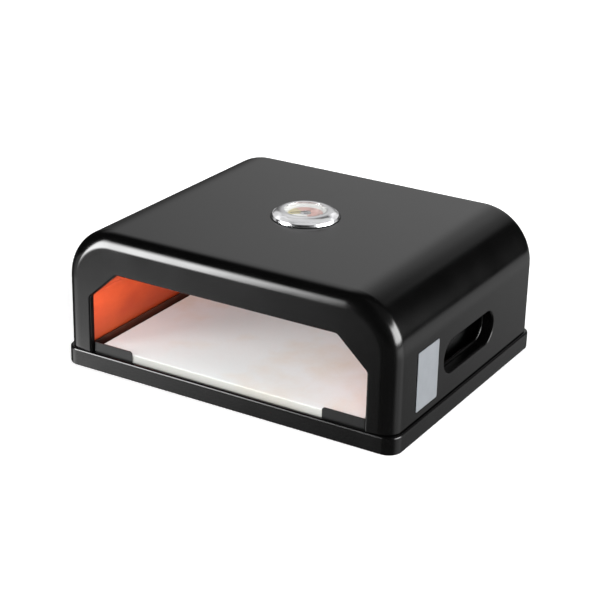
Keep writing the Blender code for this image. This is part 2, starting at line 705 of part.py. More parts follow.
def build_pizza_stone(ceramic):
    """Flat baking slab with bevelled edges, lying on the legs of its rails."""
    bevel = STONE_EDGE_BEVEL
    levels = ((bevel, 0), (0, bevel), (0, STONE_THICKNESS - bevel), (bevel, STONE_THICKNESS))
    rings = []
    for inset, height in levels:
        half = STONE_HALF_WIDTH - inset
        radius = STONE_CORNER_RADIUS - inset
        front = STONE_FRONT_Y + inset
        rings.append(rounded_rectangle(half, front, STONE_BACK_Y - inset, radius, STONE_BASE_Z + height))
    make_object("pizza_stone", loft(rings, closed=False), ceramic)


def build_data_plate(metal):
    """Thin bare plate on the hood's right side."""
    centre_y = PLATE_FROM_FRONT - HOOD_HALF_DEPTH
    centre_z = LEDGE_Z + PLATE_CENTRE_HEIGHT
    half_y = PLATE_WIDTH / 2
    half_z = PLATE_HEIGHT / 2
    corners = rounded_rectangle(half_y, -half_z, half_z, PLATE_CORNER_RADIUS, 0)
    outline = [(centre_y + y, centre_z + z) for y, z, _ in corners]
    start = HOOD_HALF_WIDTH + GAP
    make_object("data_plate", prism(outline, start, start + PLATE_THICKNESS, along_x), metal)


def build_seal(rubber):
    inner = NECK_RADIUS + HOLE_CLEARANCE
    top = SEAL_BASE_Z + SEAL_THICKNESS
    profile = ((inner, SEAL_BASE_Z), (SEAL_RADIUS, SEAL_BASE_Z), (SEAL_RADIUS, top), (inner, top))
    make_object("gauge_seal", turned(profile, TURNED_SIDES, closed=True), rubber)


def bezel_dome(inset):
    """Points of the bezel's dome from its foot to its window, drawn in by an inset."""
    run = BEZEL_FOOT_RADIUS - inset - BEZEL_WINDOW_RADIUS
    rise = BEZEL_TOP_Z - inset - BEZEL_FOOT_Z
    turns = [math.pi / 2 * step / CORNER_STEPS for step in range(CORNER_STEPS + 1)]
    window = BEZEL_WINDOW_RADIUS
    return [(window + run * math.cos(turn), BEZEL_FOOT_Z + rise * math.sin(turn)) for turn in turns]


def case_radius():
    """The case's radius: as wide as the inside of the bezel's dome leaves at the case's top."""
    run = BEZEL_FOOT_RADIUS - BEZEL_SHEET - BEZEL_WINDOW_RADIUS
    share = (CASE_TOP_Z - BEZEL_FOOT_Z) / (BEZEL_TOP_Z - BEZEL_SHEET - BEZEL_FOOT_Z)
    return BEZEL_WINDOW_RADIUS + run * math.sqrt(1 - share * share) - CASE_TO_BEZEL


def build_case(steel):
    """Cup under the dial, with a ledge at its rim that carries the lens."""
    hole = NECK_RADIUS + HOLE_CLEARANCE
    outside = case_radius()
    wall = outside - CASE_WALL
    ledge = LENS_RADIUS - LENS_LAP / 2
    profile = (
        (hole, CASE_BASE_Z),
        (outside, CASE_BASE_Z),
        (outside, CASE_TOP_Z),
        (ledge, CASE_TOP_Z),
        (ledge, CASE_TOP_Z - CASE_WALL),
        (wall, CASE_TOP_Z - CASE_WALL),
        (wall, CASE_FLOOR_Z),
        (hole, CASE_FLOOR_Z),
    )
    make_object("gauge_case", turned(profile, TURNED_SIDES, closed=True), steel)


def build_bezel(chrome):
    """Domed chrome ring with a small foot flange, open at the window."""
    outer = [(BEZEL_RADIUS, CASE_BASE_Z), (BEZEL_RADIUS, CASE_BASE_Z + BEZEL_FLANGE_HEIGHT / 2)]
    outer += bezel_dome(0)
    inner = bezel_dome(BEZEL_SHEET)[::-1] + [(BEZEL_FOOT_RADIUS - BEZEL_SHEET, CASE_BASE_Z)]
    make_object("gauge_bezel", turned(outer + inner, TURNED_SIDES, closed=True), chrome)


def build_lens(glass):
    """Flat glass held between the case's ledge and the bezel."""
    profile = ((0, LENS_BASE_Z), (LENS_RADIUS, LENS_BASE_Z), (LENS_RADIUS, LENS_TOP_Z), (0, LENS_TOP_Z))
    make_object("gauge_lens", turned(profile, TURNED_SIDES, closed=False), glass)


def build_dial(paint):
    radius = case_radius() - CASE_WALL - DIAL_EDGE_CLEARANCE
    inner = DIAL_HOLE_RADIUS
    profile = ((inner, DIAL_BASE_Z), (radius, DIAL_BASE_Z), (radius, DIAL_TOP_Z), (inner, DIAL_TOP_Z))
    make_object("gauge_dial", turned(profile, TURNED_SIDES, closed=True), paint)


def build_pointer(paint):
    """Tapered needle with a round hub, turned to the dial's cold end at its lower left."""
    hub = POINTER_HUB_RADIUS
    start = math.asin(POINTER_WIDTH / 2 / hub)
    steps = [start + (math.pi - 2 * start) * step / CORNER_STEPS for step in range(CORNER_STEPS + 1)]
    upper = [(POINTER_LENGTH, POINTER_TIP_WIDTH / 2)]
    upper += [(hub * math.cos(turn), hub * math.sin(turn)) for turn in steps]
    upper.append((-POINTER_TAIL, POINTER_WIDTH / 2))
    outline = upper + [(x, -y) for x, y in reversed(upper)]
    cosine = math.cos(POINTER_COLD_ANGLE)
    sine = math.sin(POINTER_COLD_ANGLE)
    turned_outline = [(x * cosine - y * sine, x * sine + y * cosine) for x, y in outline]
    needle = prism(turned_outline, POINTER_BASE_Z, POINTER_TOP_Z, along_z)
    pointer = make_object("gauge_pointer", needle, paint)
    apply_tool(pointer, "pointer_hole", centre_hole(SPINDLE_RADIUS, POINTER_BASE_Z, POINTER_TOP_Z))


def build_spindle(steel):
    """Thin shaft from the coil in the stem up through the dial to the pointer."""
    base = BORE_END_Z + COIL_ABOVE_BORE_END
    profile = ((0, base), (SPINDLE_RADIUS, base), (SPINDLE_RADIUS, SPINDLE_TOP_Z), (0, SPINDLE_TOP_Z))
    make_object("gauge_spindle", turned(profile, SMALL_SIDES, closed=False), steel)


def build_stem(steel):
    """Probe tube with a threaded neck, a flange inside the case and a closed tip."""
    bevel = STEM_TIP_BEVEL
    profile = (
        (0, STEM_TIP_Z),
        (STEM_RADIUS - bevel, STEM_TIP_Z),
        (STEM_RADIUS, STEM_TIP_Z + bevel),
        (STEM_RADIUS, NECK_BASE_Z),
        (NECK_RADIUS, NECK_BASE_Z),
        (NECK_RADIUS, CASE_FLOOR_Z + GAP),
        (STEM_FLANGE_RADIUS, CASE_FLOOR_Z + GAP),
        (STEM_FLANGE_RADIUS, STEM_TOP_Z),
        (STEM_BORE_RADIUS, STEM_TOP_Z),
        (STEM_BORE_RADIUS, BORE_END_Z),
        (0, BORE_END_Z),
    )
    make_object("gauge_stem", turned(profile, 2 * SMALL_SIDES, closed=False), steel)


def build_washer(zinc):
    inner = NECK_RADIUS + HOLE_CLEARANCE
    base = WASHER_TOP_Z - WASHER_THICKNESS
    profile = ((inner, base), (WASHER_RADIUS, base), (WASHER_RADIUS, WASHER_TOP_Z), (inner, WASHER_TOP_Z))
    make_object("gauge_washer", turned(profile, 2 * SMALL_SIDES, closed=True), zinc)


def build_nut(zinc):
    """Hexagon nut that pulls the thermometer down on its seal."""
    corner_radius = NUT_ACROSS_FLATS / 2 / math.cos(math.pi / NUT_SIDES)
    base = NUT_TOP_Z - NUT_THICKNESS
    hexagon = prism(circle(corner_radius, NUT_SIDES), base, NUT_TOP_Z, along_z)
    nut = make_object("gauge_nut", hexagon, zinc)
    apply_tool(nut, "nut_hole", centre_hole(NECK_RADIUS, base, NUT_TOP_Z))


def build_coil(metal):
    """Bimetal coil between the spindle and the stem's bore, as one wire along a helix."""
    count = COIL_TURNS * COIL_STEPS_PER_TURN
    base = BORE_END_Z + COIL_ABOVE_BORE_END
    rings = []
    for step in range(count + 1):
        turn = 2 * math.pi * step / COIL_STEPS_PER_TURN
        height = base + COIL_PITCH * step / COIL_STEPS_PER_TURN
        ring = []
        for out, up in circle(COIL_WIRE_RADIUS, COIL_WIRE_SIDES):
            radius = COIL_RADIUS + out
            ring.append((radius * math.cos(turn), radius * math.sin(turn), height + up))
        rings.append(ring)
    make_object("gauge_coil", loft(rings, closed=False), metal)


def screw_body(length):
    """A pan-head screw that points up, its head's seat at height zero."""
    head = SCREW_HEAD_RADIUS
    profile = (
        (0, -SCREW_HEAD_HEIGHT),
        (head / 2, -SCREW_HEAD_HEIGHT),
        (head, -SCREW_HEAD_HEIGHT / 2),
        (head, 0),
        (SCREW_RADIUS, 0),
        (SCREW_RADIUS, length),
        (0, length),
    )
    return turned(profile, SMALL_SIDES, closed=False)


def build_screws(steel):
    """Screws from below: hood and liner to the tray's ledge, rails to its deck, flush with their legs."""
    ledge_seat = TRAY_HEIGHT - TRAY_SHEET - GAP
    deck_seat = DECK_Z - TRAY_SHEET - GAP
    hood_length = TRAY_SHEET + HOOD_SHEET + 2 * GAP + SCREW_PAST_SHEET
    liner_length = TRAY_SHEET + LINER_SHEET + 2 * GAP + SCREW_PAST_SHEET
    rail_length = TRAY_SHEET + RAIL_SHEET + GAP
    groups = (
        ("hood_screw", hood_screw_places(), ledge_seat, hood_length),
        ("liner_screw", liner_screw_places(), ledge_seat, liner_length),
        ("rail_screw", rail_screw_places(), deck_seat, rail_length),
    )
    for name, places, seat, length in groups:
        for number, (x, y) in enumerate(places, start=1):
            make_object(f"{name}_{number}", screw_body(length), steel, place=(x, y, seat))


def main():
    clear_scene()
    coat = make_material("black_powder_coat", (0.012, 0.012, 0.013), 0.35, 0.0)
    dark_coat = make_material("black_rail_coat", (0.010, 0.010, 0.010), 0.5, 0.0)
    liner_steel = make_material("liner_steel", (0.62, 0.60, 0.57), 0.35, 1.0)
    ceramic = make_material("cordierite", (0.80, 0.75, 0.65), 0.9, 0.0)
    chrome = make_material("chrome", (0.85, 0.85, 0.86), 0.08, 1.0)
    glass = make_material("gauge_glass", (0.95, 0.97, 0.97), 0.02, 0.0, alpha=0.25)
    dial_paint = make_material("dial_paint", (0.85, 0.84, 0.80), 0.4, 0.0)
    pointer_paint = make_material("pointer_paint", (0.02, 0.02, 0.02), 0.4, 0.0)
    rubber = make_material("seal_rubber", (0.008, 0.008, 0.008), 0.7, 0.0)
    zinc = make_material("zinc_plate", (0.60, 0.60, 0.60), 0.35, 1.0)
    plate_metal = make_material("plate_aluminium", (0.65, 0.66, 0.68), 0.35, 1.0)
    bimetal = make_material("bimetal", (0.60, 0.45, 0.25), 0.3, 1.0)

    build_base_tray(coat)
    build_outer_hood(coat)
    for name, side in (("left", -1), ("right", 1)):
        build_grip_collar(f"grip_collar_{name}", side, coat)
        build_stone_rail(f"stone_rail_{name}", side, dark_coat)
    build_liner(liner_steel)
    build_liner_back(liner_steel)
    build_back_rivets(zinc)
    build_pizza_stone(ceramic)
    build_data_plate(plate_metal)
    build_seal(rubber)
    build_case(zinc)
    build_bezel(chrome)
    build_lens(glass)
    build_dial(dial_paint)
    build_pointer(pointer_paint)
    build_spindle(zinc)
    build_stem(zinc)
    build_washer(zinc)
    build_nut(zinc)
    build_coil(bimetal)
    build_screws(zinc)


main()
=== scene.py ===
"""Looks of a table-top pizza oven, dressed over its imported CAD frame.

Metres, +Z up, and the mouth faces -Y. A piece is made of patches: grids of points worked out by a formula,
joined where their borders meet. Sheet metal is drawn as its outer skin and then given its wall.
"""

import functools
import json
import math

import bmesh
import bpy
import numpy as np
from mathutils import Matrix, Vector


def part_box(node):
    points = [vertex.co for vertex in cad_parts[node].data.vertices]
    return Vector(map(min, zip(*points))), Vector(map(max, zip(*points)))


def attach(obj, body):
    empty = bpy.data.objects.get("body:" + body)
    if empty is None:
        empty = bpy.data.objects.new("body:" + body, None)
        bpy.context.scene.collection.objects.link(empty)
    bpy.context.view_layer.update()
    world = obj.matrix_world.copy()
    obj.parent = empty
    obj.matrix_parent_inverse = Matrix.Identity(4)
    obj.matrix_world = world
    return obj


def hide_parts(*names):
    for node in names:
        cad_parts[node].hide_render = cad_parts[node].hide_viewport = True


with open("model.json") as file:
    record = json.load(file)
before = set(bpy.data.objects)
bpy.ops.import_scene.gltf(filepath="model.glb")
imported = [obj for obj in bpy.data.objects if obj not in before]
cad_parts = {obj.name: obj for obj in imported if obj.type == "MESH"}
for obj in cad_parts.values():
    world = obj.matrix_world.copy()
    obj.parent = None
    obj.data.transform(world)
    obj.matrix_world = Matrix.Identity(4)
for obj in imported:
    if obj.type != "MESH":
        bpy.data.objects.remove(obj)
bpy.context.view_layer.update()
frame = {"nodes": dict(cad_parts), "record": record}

MM = 0.001
WELD_DISTANCE = 0.001 * MM
SHARP_ANGLE = math.radians(32)

# Sheet thicknesses and the small bends of folded sheet
HOOD_SHEET = 1.2 * MM
TRAY_SHEET = 1.2 * MM
LINER_SHEET = 0.8 * MM
RAIL_SHEET = 1.2 * MM
COLLAR_SHEET = 1.0 * MM
FIT_GAP = 0.3 * MM
LIP_BEND = 1.6 * MM
SLOT_BEND = 1.3 * MM
FOOT_BEND = 1.8 * MM
LINER_BEND = 1.5 * MM

# Hood
hood_low, hood_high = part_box("outer_hood")
HOOD_HALF_WIDTH = hood_high.x
HOOD_HALF_DEPTH = hood_high.y
HOOD_BASE = hood_low.z
HOOD_TOP = hood_high.z
HOOD_ARCH_RADIUS = 62 * MM
HOOD_EDGE_RADIUS = 18 * MM
HOOD_FLANGE = 12 * MM
JAMB_FLANGE = 2.2 * MM
ARCH_CENTRE_X = HOOD_HALF_WIDTH - HOOD_ARCH_RADIUS
ARCH_CENTRE_Z = HOOD_TOP - HOOD_ARCH_RADIUS
EDGE_X = HOOD_HALF_WIDTH - HOOD_EDGE_RADIUS
EDGE_Y = HOOD_HALF_DEPTH - HOOD_EDGE_RADIUS

# Mouth
MOUTH_HALF_WIDTH = HOOD_HALF_WIDTH - 33.2 * MM
MOUTH_TOP = HOOD_BASE + 99.4 * MM
MOUTH_CHAMFER = np.array([36.4, 33.3]) * MM
MOUTH_CORNER_RADIUS = 5 * MM
MOUTH_LIP_DEPTH = 7 * MM

# Liner
liner_low, liner_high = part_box("inner_liner")
LINER_OFFSET = HOOD_SHEET + FIT_GAP
LINER_FLANGE_TIP = liner_high.x

# Grip slots
collar_low, collar_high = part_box("grip_collar_right")
COLLAR_RIM = 6 * MM
COLLAR_BEAD = 1.6 * MM
COLLAR_OUTER_X = collar_high.x
COLLAR_INNER_X = collar_low.x
SLOT_CENTRE = np.array([collar_low.y + collar_high.y, collar_low.z + collar_high.z]) / 2
SLOT_RADIUS = (collar_high.z - collar_low.z) / 2 - COLLAR_RIM
SLOT_HALF_STRAIGHT = (collar_high.y - collar_low.y) / 2 - COLLAR_RIM - SLOT_RADIUS

# Tray
tray_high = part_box("base_tray")[1]
TRAY_HALF_WIDTH = tray_high.x
TRAY_HALF_DEPTH = tray_high.y
TRAY_TOP = tray_high.z
TRAY_CORNER_RADIUS = 16 * MM
TRAY_EDGE_RADIUS = 2.4 * MM
TRAY_FOOT_BEND = 1.5 * MM
FOOT_FLANGE = 5 * MM
RECESS_HALF_WIDTH = 174.3 * MM
RECESS_INSETS = np.array([TRAY_HALF_WIDTH - RECESS_HALF_WIDTH, 5.2 * MM, 22 * MM])
RECESS_CORNER_RADIUS = 3.3 * MM
RECESS_BEND = 1.2 * MM
DECK_TOP = TRAY_TOP - 6.5 * MM
DECK_WIDTH = 24 * MM
HEAT_OPENING_RADIUS = 20 * MM

# Rails
rail_low, rail_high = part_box("stone_rail_right")
RAIL_BEND = 3 * MM
RAIL_LEG = 14 * MM
TAB_TIP = rail_low.x
TAB_CORNER_RADIUS = 3.5 * MM

# Baking slab
stone_low, stone_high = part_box("pizza_stone")
STONE_CORNER_RADIUS = 8 * MM
STONE_EDGE_RADIUS = 1.5 * MM

# Bare plate
plate_low, plate_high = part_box("data_plate")
PLATE_CORNER_RADIUS = 1.6 * MM
PLATE_EDGE_RADIUS = 0.15 * MM

# Thermometer. Its bezel is a skirt, a groove and a shallow dome that ends in a rolled lip round the window.
# The dome follows a curve that leaves the skirt towards DOME_CREST and reaches the window from there.
seal_low, seal_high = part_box("gauge_seal")
dial_low, dial_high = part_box("gauge_dial")
hand_low, hand_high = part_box("gauge_pointer")
SEAL_RADIUS = seal_high.x - 1.0 * MM
SEAL_SHEET = 0.35 * MM
NECK_HOLE_RADIUS = 4.3 * MM
SKIRT_FOOT = np.array([38.0 * MM, seal_low.z + SEAL_SHEET])
SKIRT_TOP = SKIRT_FOOT + np.array([-1.0, 2.7]) * MM
DOME_FOOT = SKIRT_TOP - np.array([0.5, 0.2]) * MM
DOME_CREST = np.array([30.6 * MM, seal_low.z + 9.3 * MM])
WINDOW_EDGE = np.array([23.8 * MM, seal_low.z + 8.2 * MM])
BEZEL_SHEET = 0.6 * MM
BEZEL_BEND = 0.25 * MM
GROOVE_FLOOR = DOME_FOOT + np.array([0.2, 0.15]) * MM
LENS_RADIUS = 25.4 * MM
LENS_SHEET = 0.8 * MM
LENS_CROWN = 0.5 * MM
DIAL_RADIUS = 25.6 * MM
DIAL_DROP = 1.4 * MM
DIAL_RIM = 3.6 * MM
DIAL_HOLE_RADIUS = 1.3 * MM
CUP_RADIUS = 27.0 * MM
CUP_SHEET = 0.6 * MM
CUP_LEDGE = 1.0 * MM
ZONE_RADII = (4.0 * MM, 19.8 * MM)
TICK_RADII = (20.4 * MM, 21.4 * MM, 22.2 * MM)
TICK_WIDTH = 0.28 * MM
NUMERAL_RADIUS = 15.4 * MM
NUMERAL_HEIGHT = 3.4 * MM
PRINT_HEIGHT = 0.03 * MM
COLD_END = 225
SWEEP = 270
WARM_FROM = 152
UNIT_AT = 270
TICKS = 40
TICKS_PER_NUMERAL = 10
HAND_LENGTH = 17.5 * MM
HAND_TAIL = 6 * MM
HAND_HUB_RADIUS = 2.0 * MM
HAND_HALF_WIDTHS = (0.45 * MM, 0.15 * MM)

# How finely shapes are drawn
WALL_STEPS = 24
ARC_STEPS = 36
FLAT_STEPS = 16
SIDE_STEPS = 48
EDGE_STEPS = 18
BEND_STEPS = 6
SMALL_BEND_STEPS = 4
CORNER_STEPS = 12
FACE_STEPS = 10
RING_STEPS = 8
STRIP_STEPS = 4
FEW_STEPS = 3
DOME_STEPS = 24
TURNED_SIDES = 128


def linear(code):
    """An sRGB hex colour as linear red, green, blue and an alpha of 1."""
    parts = np.array([int(code[start : start + 2], 16) for start in (1, 3, 5)]) / 255
    curved = ((parts + 0.055) / 1.055) ** 2.4
    return (*np.where(parts <= 0.04045, parts / 12.92, curved), 1.0)


def line(start, end, steps):
    """Evenly spaced numbers from start to end."""
    return np.linspace(start, end, steps + 1)


def quarter(steps):
    """Angles from zero to a right angle."""
    return line(0, np.pi / 2, steps)


def bend_shares(steps=BEND_STEPS):
    """How far a small quarter circle still has to go, and how far it has come, as shares of its radius."""
    turn = quarter(steps)
    return 1 - np.sin(turn), 1 - np.cos(turn)


def grid(*parts):
    """Points from one array for each of their coordinates, stretched to one common shape."""
    return np.stack(np.broadcast_arrays(*parts), axis=-1)


def ruled(start, end, steps):
    """Grid of straight lines from each point of one row to its partner in another."""
    share = line(0, 1, steps)[:, None, None]
    return start * (1 - share) + end * share


def mirrored(patches):
    """The patches together with their mirror images in the plane x = 0."""
    return patches + [patch * (-1, 1, 1) for patch in patches]


def grid_faces(rows, columns, start):
    """Quads between neighbouring points of a grid that is stored row by row from index start."""
    index = start + np.arange(rows * columns).reshape(rows, columns)
    corners = (index[:-1, :-1], index[:-1, 1:], index[1:, 1:], index[1:, :-1])
    return np.stack([corner.ravel() for corner in corners], axis=1)


def put(name, data):
    """Object of some data, placed in the scene."""
    made = bpy.data.objects.new(name, data)
    bpy.context.scene.collection.objects.link(made)
    return made


def make_piece(name, patches, toward=(0, 0, 1), wall=0.0):
    """One mesh from patches. Borders that meet are merged, faces are turned so that the face farthest along
    toward looks that way, and a wall grows inwards from the skin."""
    points = np.concatenate([patch.reshape(-1, 3) for patch in patches])
    starts = np.cumsum([0] + [patch.shape[0] * patch.shape[1] for patch in patches])
    faces = np.concatenate([grid_faces(*patch.shape[:2], start) for patch, start in zip(patches, starts)])
    mesh = bpy.data.meshes.new(name)
    mesh.from_pydata(points.tolist(), [], faces.tolist())
    work = bmesh.new()
    work.from_mesh(mesh)
    bmesh.ops.remove_doubles(work, verts=work.verts, dist=WELD_DISTANCE)
    bmesh.ops.recalc_face_normals(work, faces=work.faces)
    way = Vector(toward)
    outermost = max(work.faces, key=lambda face: face.calc_center_median().dot(way))
    if outermost.normal.dot(way) < 0:
        bmesh.ops.reverse_faces(work, faces=work.faces)
    work.to_mesh(mesh)
    work.free()
    piece = put(name, mesh)
    if wall:
        solidify = piece.modifiers.new("wall", "SOLIDIFY")
        solidify.thickness = wall
        solidify.offset = -1
        solidify.use_even_offset = True
        graph = bpy.context.evaluated_depsgraph_get()
        piece.data = bpy.data.meshes.new_from_object(piece.evaluated_get(graph))
        piece.modifiers.clear()
    piece.data.shade_smooth()
    piece.data.set_sharp_from_angle(angle=SHARP_ANGLE)
    weighted = piece.modifiers.new("flat faces stay flat", "WEIGHTED_NORMAL")
    weighted.keep_sharp = True
    return piece


def dress(piece, finish, *nodes, body="oven"):
    """Gives a piece its material and its slot, and lets it ride on a body in place of CAD nodes."""
    piece.data.materials.clear()
    piece.data.materials.append(MATERIALS[finish])
    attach(piece, body)
    if nodes:
        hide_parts(*nodes)


def turned(profile):
    """Surface of revolution about the Z axis through (radius, height) points."""
    profile = np.array(profile)
    turn = line(0, 2 * np.pi, TURNED_SIDES)
    radius = profile[:, :1]
    return grid(radius * np.cos(turn), radius * np.sin(turn), profile[:, 1:])


def arc(centre, radius, start, end, steps=BEND_STEPS):
    """Points of a circular arc in a plane. Angles in degrees."""
    turn = np.radians(line(start, end, steps))
    return grid(centre[0] + radius * np.cos(turn), centre[1] + radius * np.sin(turn))


def hood_section():
    """Right half of the hood's cross-section as (x, z, normal x, normal z): straight up from the foot, a
    quarter circle, then level to the middle."""
    wall = line(HOOD_BASE + FOOT_BEND, ARCH_CENTRE_Z, WALL_STEPS)
    turn = quarter(ARC_STEPS)[1:]
    across, up = np.cos(turn), np.sin(turn)
    flat = line(ARCH_CENTRE_X, 0, FLAT_STEPS)[1:]
    arch = [ARCH_CENTRE_X + HOOD_ARCH_RADIUS * across, ARCH_CENTRE_Z + HOOD_ARCH_RADIUS * up]
    return np.vstack([grid(HOOD_HALF_WIDTH, wall, 1, 0), grid(*arch, across, up), grid(flat, HOOD_TOP, 0, 1)])


def mouth_section(foot):
    """Right half of the mouth's outline as (x, z, normal x, normal z), from its foot over the slanting corner
    to the middle of its top. Its two corners are arcs whose normals turn from one side's to the next's."""
    radius = MOUTH_CORNER_RADIUS
    slant = np.array([MOUTH_CHAMFER[1], MOUTH_CHAMFER[0]])
    slant = slant / np.linalg.norm(slant)
    slant_turn = math.atan2(slant[1], slant[0])
    lower = np.array([MOUTH_HALF_WIDTH, MOUTH_TOP - MOUTH_CHAMFER[1]])
    upper = np.array([MOUTH_HALF_WIDTH - MOUTH_CHAMFER[0], MOUTH_TOP])
    side, top = np.array([1.0, 0.0]), np.array([0.0, 1.0])
    lower_centre = lower - radius * (side + slant) / (1 + side @ slant)
    upper_centre = upper - radius * (slant + top) / (1 + top @ slant)
    corner_steps = ARC_STEPS // 4
    slant_steps = ARC_STEPS - 2 * corner_steps
    wall_share = line(0, 1, WALL_STEPS)
    centres = [
        grid(lower_centre[0], foot + wall_share * (lower_centre[1] - foot)),
        np.tile(lower_centre, (corner_steps, 1)),
        lower_centre + line(0, 1, slant_steps)[1:, None] * (upper_centre - lower_centre),
        np.tile(upper_centre, (corner_steps, 1)),
        grid(line(upper_centre[0], 0, FLAT_STEPS)[1:], upper_centre[1]),
    ]
    turns = [
        np.zeros(WALL_STEPS + 1),
        line(0, slant_turn, corner_steps)[1:],
        np.full(slant_steps, slant_turn),
        line(slant_turn, np.pi / 2, corner_steps)[1:],
        np.full(FLAT_STEPS, np.pi / 2),
    ]
    turn = np.concatenate(turns)
    normal = grid(np.cos(turn), np.sin(turn))
    return np.hstack([np.vstack(centres) + radius * normal, normal])


def section_grid(section, out, y):
    """Grid of a section moved out along its normals, one row for each pair of an offset and a depth."""
    out = np.atleast_1d(out)[:, None]
    y = np.atleast_1d(y)[:, None]
    return grid(section[:, 0] + section[:, 2] * out, y, section[:, 1] + section[:, 3] * out)


def slot_distance(turn, radius):
    """From a grip slot's middle to its edge in a direction: to the flat edge, radius / sine, or beyond its
    ends to the round end, where the ray meets a circle about the end's centre."""
    across = np.abs(np.sin(turn))
    along = np.abs(np.cos(turn))
    flat = radius / np.maximum(across, 1e-9)
    reach = np.sqrt(np.maximum(radius**2 - (SLOT_HALF_STRAIGHT * across) ** 2, 0))
    return np.where(flat * along <= SLOT_HALF_STRAIGHT, flat, SLOT_HALF_STRAIGHT * along + reach)


def slotted_wall():
    """The hood's flat side wall with its grip slot: lines from the wall's border towards the slot's middle end
    at the slot's edge, which is bent inwards in a quarter circle."""
    y = line(-EDGE_Y, EDGE_Y, SIDE_STEPS)
    z = line(HOOD_BASE + FOOT_BEND, ARCH_CENTRE_Z, WALL_STEPS)
    border_y = np.concatenate([y, np.full(WALL_STEPS, y[-1]), y[-2::-1], np.full(WALL_STEPS, y[0])])
    border_z = np.concatenate([np.full(y.size, z[0]), z[1:], np.full(SIDE_STEPS, z[-1]), z[-2::-1]])
    turn = np.arctan2(border_z - SLOT_CENTRE[1], border_y - SLOT_CENTRE[0])
    ahead, behind = (share[:, None] for share in bend_shares())
    distance = slot_distance(turn, SLOT_RADIUS + SLOT_BEND * ahead)
    depth = HOOD_HALF_WIDTH - SLOT_BEND * behind
    edge = grid(depth, SLOT_CENTRE[0] + distance * np.cos(turn), SLOT_CENTRE[1] + distance * np.sin(turn))
    border = grid(HOOD_HALF_WIDTH, border_y, border_z)
    return [ruled(border, edge[0], RING_STEPS), edge]


def hood_foot(front_face):
    """Bend and flange along the hood's lower edge. They run along the plan's outline, as (x, y, normal x,
    normal y), are drawn in along its normals, and fade out on the jamb beside the mouth."""
    jamb = front_face[::-1, 0]
    turn = quarter(EDGE_STEPS)
    side_y = line(-EDGE_Y, EDGE_Y, SIDE_STEPS)
    back_x = line(EDGE_X, 0, FLAT_STEPS)
    radius = HOOD_EDGE_RADIUS
    sine, cosine = np.sin(turn), np.cos(turn)
    plan = [
        grid(*jamb[:, :2].T, 0, -1),
        grid(EDGE_X + radius * sine, -EDGE_Y - radius * cosine, sine, -cosine)[1:],
        grid(HOOD_HALF_WIDTH, side_y, 1, 0)[1:],
        grid(EDGE_X + radius * cosine, EDGE_Y + radius * sine, cosine, sine)[1:],
        grid(back_x, HOOD_HALF_DEPTH, 0, 1)[1:],
    ]
    x, y, normal_x, normal_y = np.vstack(plan).T
    fade = line(0, 1, len(jamb) - 1)
    rest = len(x) - len(jamb)
    bend = np.append(FOOT_BEND * fade, np.full(rest, FOOT_BEND))
    grow = JAMB_FLANGE + (HOOD_FLANGE - JAMB_FLANGE) * (1 - np.cos(2 * turn[1:])) / 2
    flange = np.concatenate([JAMB_FLANGE * fade, grow, np.full(rest - EDGE_STEPS, HOOD_FLANGE)])
    ahead, behind = (share[:, None] for share in bend_shares())
    drawn_in = np.vstack([bend * behind, bend + (flange - bend) * line(0, 1, FEW_STEPS)[1:, None]])
    height = HOOD_BASE + np.vstack([bend * ahead, np.zeros((FEW_STEPS, len(bend)))])
    return grid(x - normal_x * drawn_in, y - normal_y * drawn_in, height)


def make_hood():
    """Drawn shell. Its cross-section runs straight from front to back, and at both ends it is drawn in by
    r (1 - cos t) while it moves out by r sin t, which rounds the edges. The lip round its mouth is a piece of
    its own, because soot has dulled it."""
    section = hood_section()
    mouth = mouth_section(HOOD_BASE)
    turn = quarter(EDGE_STEPS)
    inset = HOOD_EDGE_RADIUS * (np.cos(turn) - 1)
    run = HOOD_EDGE_RADIUS * np.sin(turn)
    band = section_grid(section[WALL_STEPS:], 0, line(-EDGE_Y, EDGE_Y, SIDE_STEPS))
    face_border = section_grid(section, -HOOD_EDGE_RADIUS, -HOOD_HALF_DEPTH)[0]
    mouth_border = section_grid(mouth, LIP_BEND, -HOOD_HALF_DEPTH)[0]
    front_face = ruled(face_border, mouth_border, FACE_STEPS)
    back_border = section_grid(section, -HOOD_EDGE_RADIUS, HOOD_HALF_DEPTH)[0, : WALL_STEPS + ARC_STEPS + 1]
    lip_out, lip_depth = (LIP_BEND * share for share in bend_shares())
    patches = [
        section_grid(section, inset, -EDGE_Y - run),
        section_grid(section, inset, EDGE_Y + run),
        band,
        front_face,
        section_grid(mouth, lip_out, lip_depth - HOOD_HALF_DEPTH),
        ruled(back_border, back_border * (0, 1, 1), FLAT_STEPS),
        hood_foot(front_face),
    ]
    hood = make_piece("hood_shell", mirrored(patches + slotted_wall()), wall=HOOD_SHEET)
    dress(hood, "hood_coat", "outer_hood")
    lip = section_grid(mouth, HOOD_SHEET, line(LIP_BEND, MOUTH_LIP_DEPTH, FEW_STEPS) - HOOD_HALF_DEPTH)
    dress(make_piece("mouth_lip", mirrored([lip]), toward=(1, 0, 0), wall=HOOD_SHEET), "sooty_coat")


def slot_ring(radius, x):
    """Loop round a grip slot at one radius: two half circles joined by straight lines."""
    turn = line(-np.pi / 2, np.pi / 2, 2 * CORNER_STEPS)
    front = grid(SLOT_HALF_STRAIGHT + radius * np.cos(turn), radius * np.sin(turn))
    loop = np.vstack([front, -front, front[:1]]) + SLOT_CENTRE
    return grid(x, loop[:, 0], loop[:, 1])


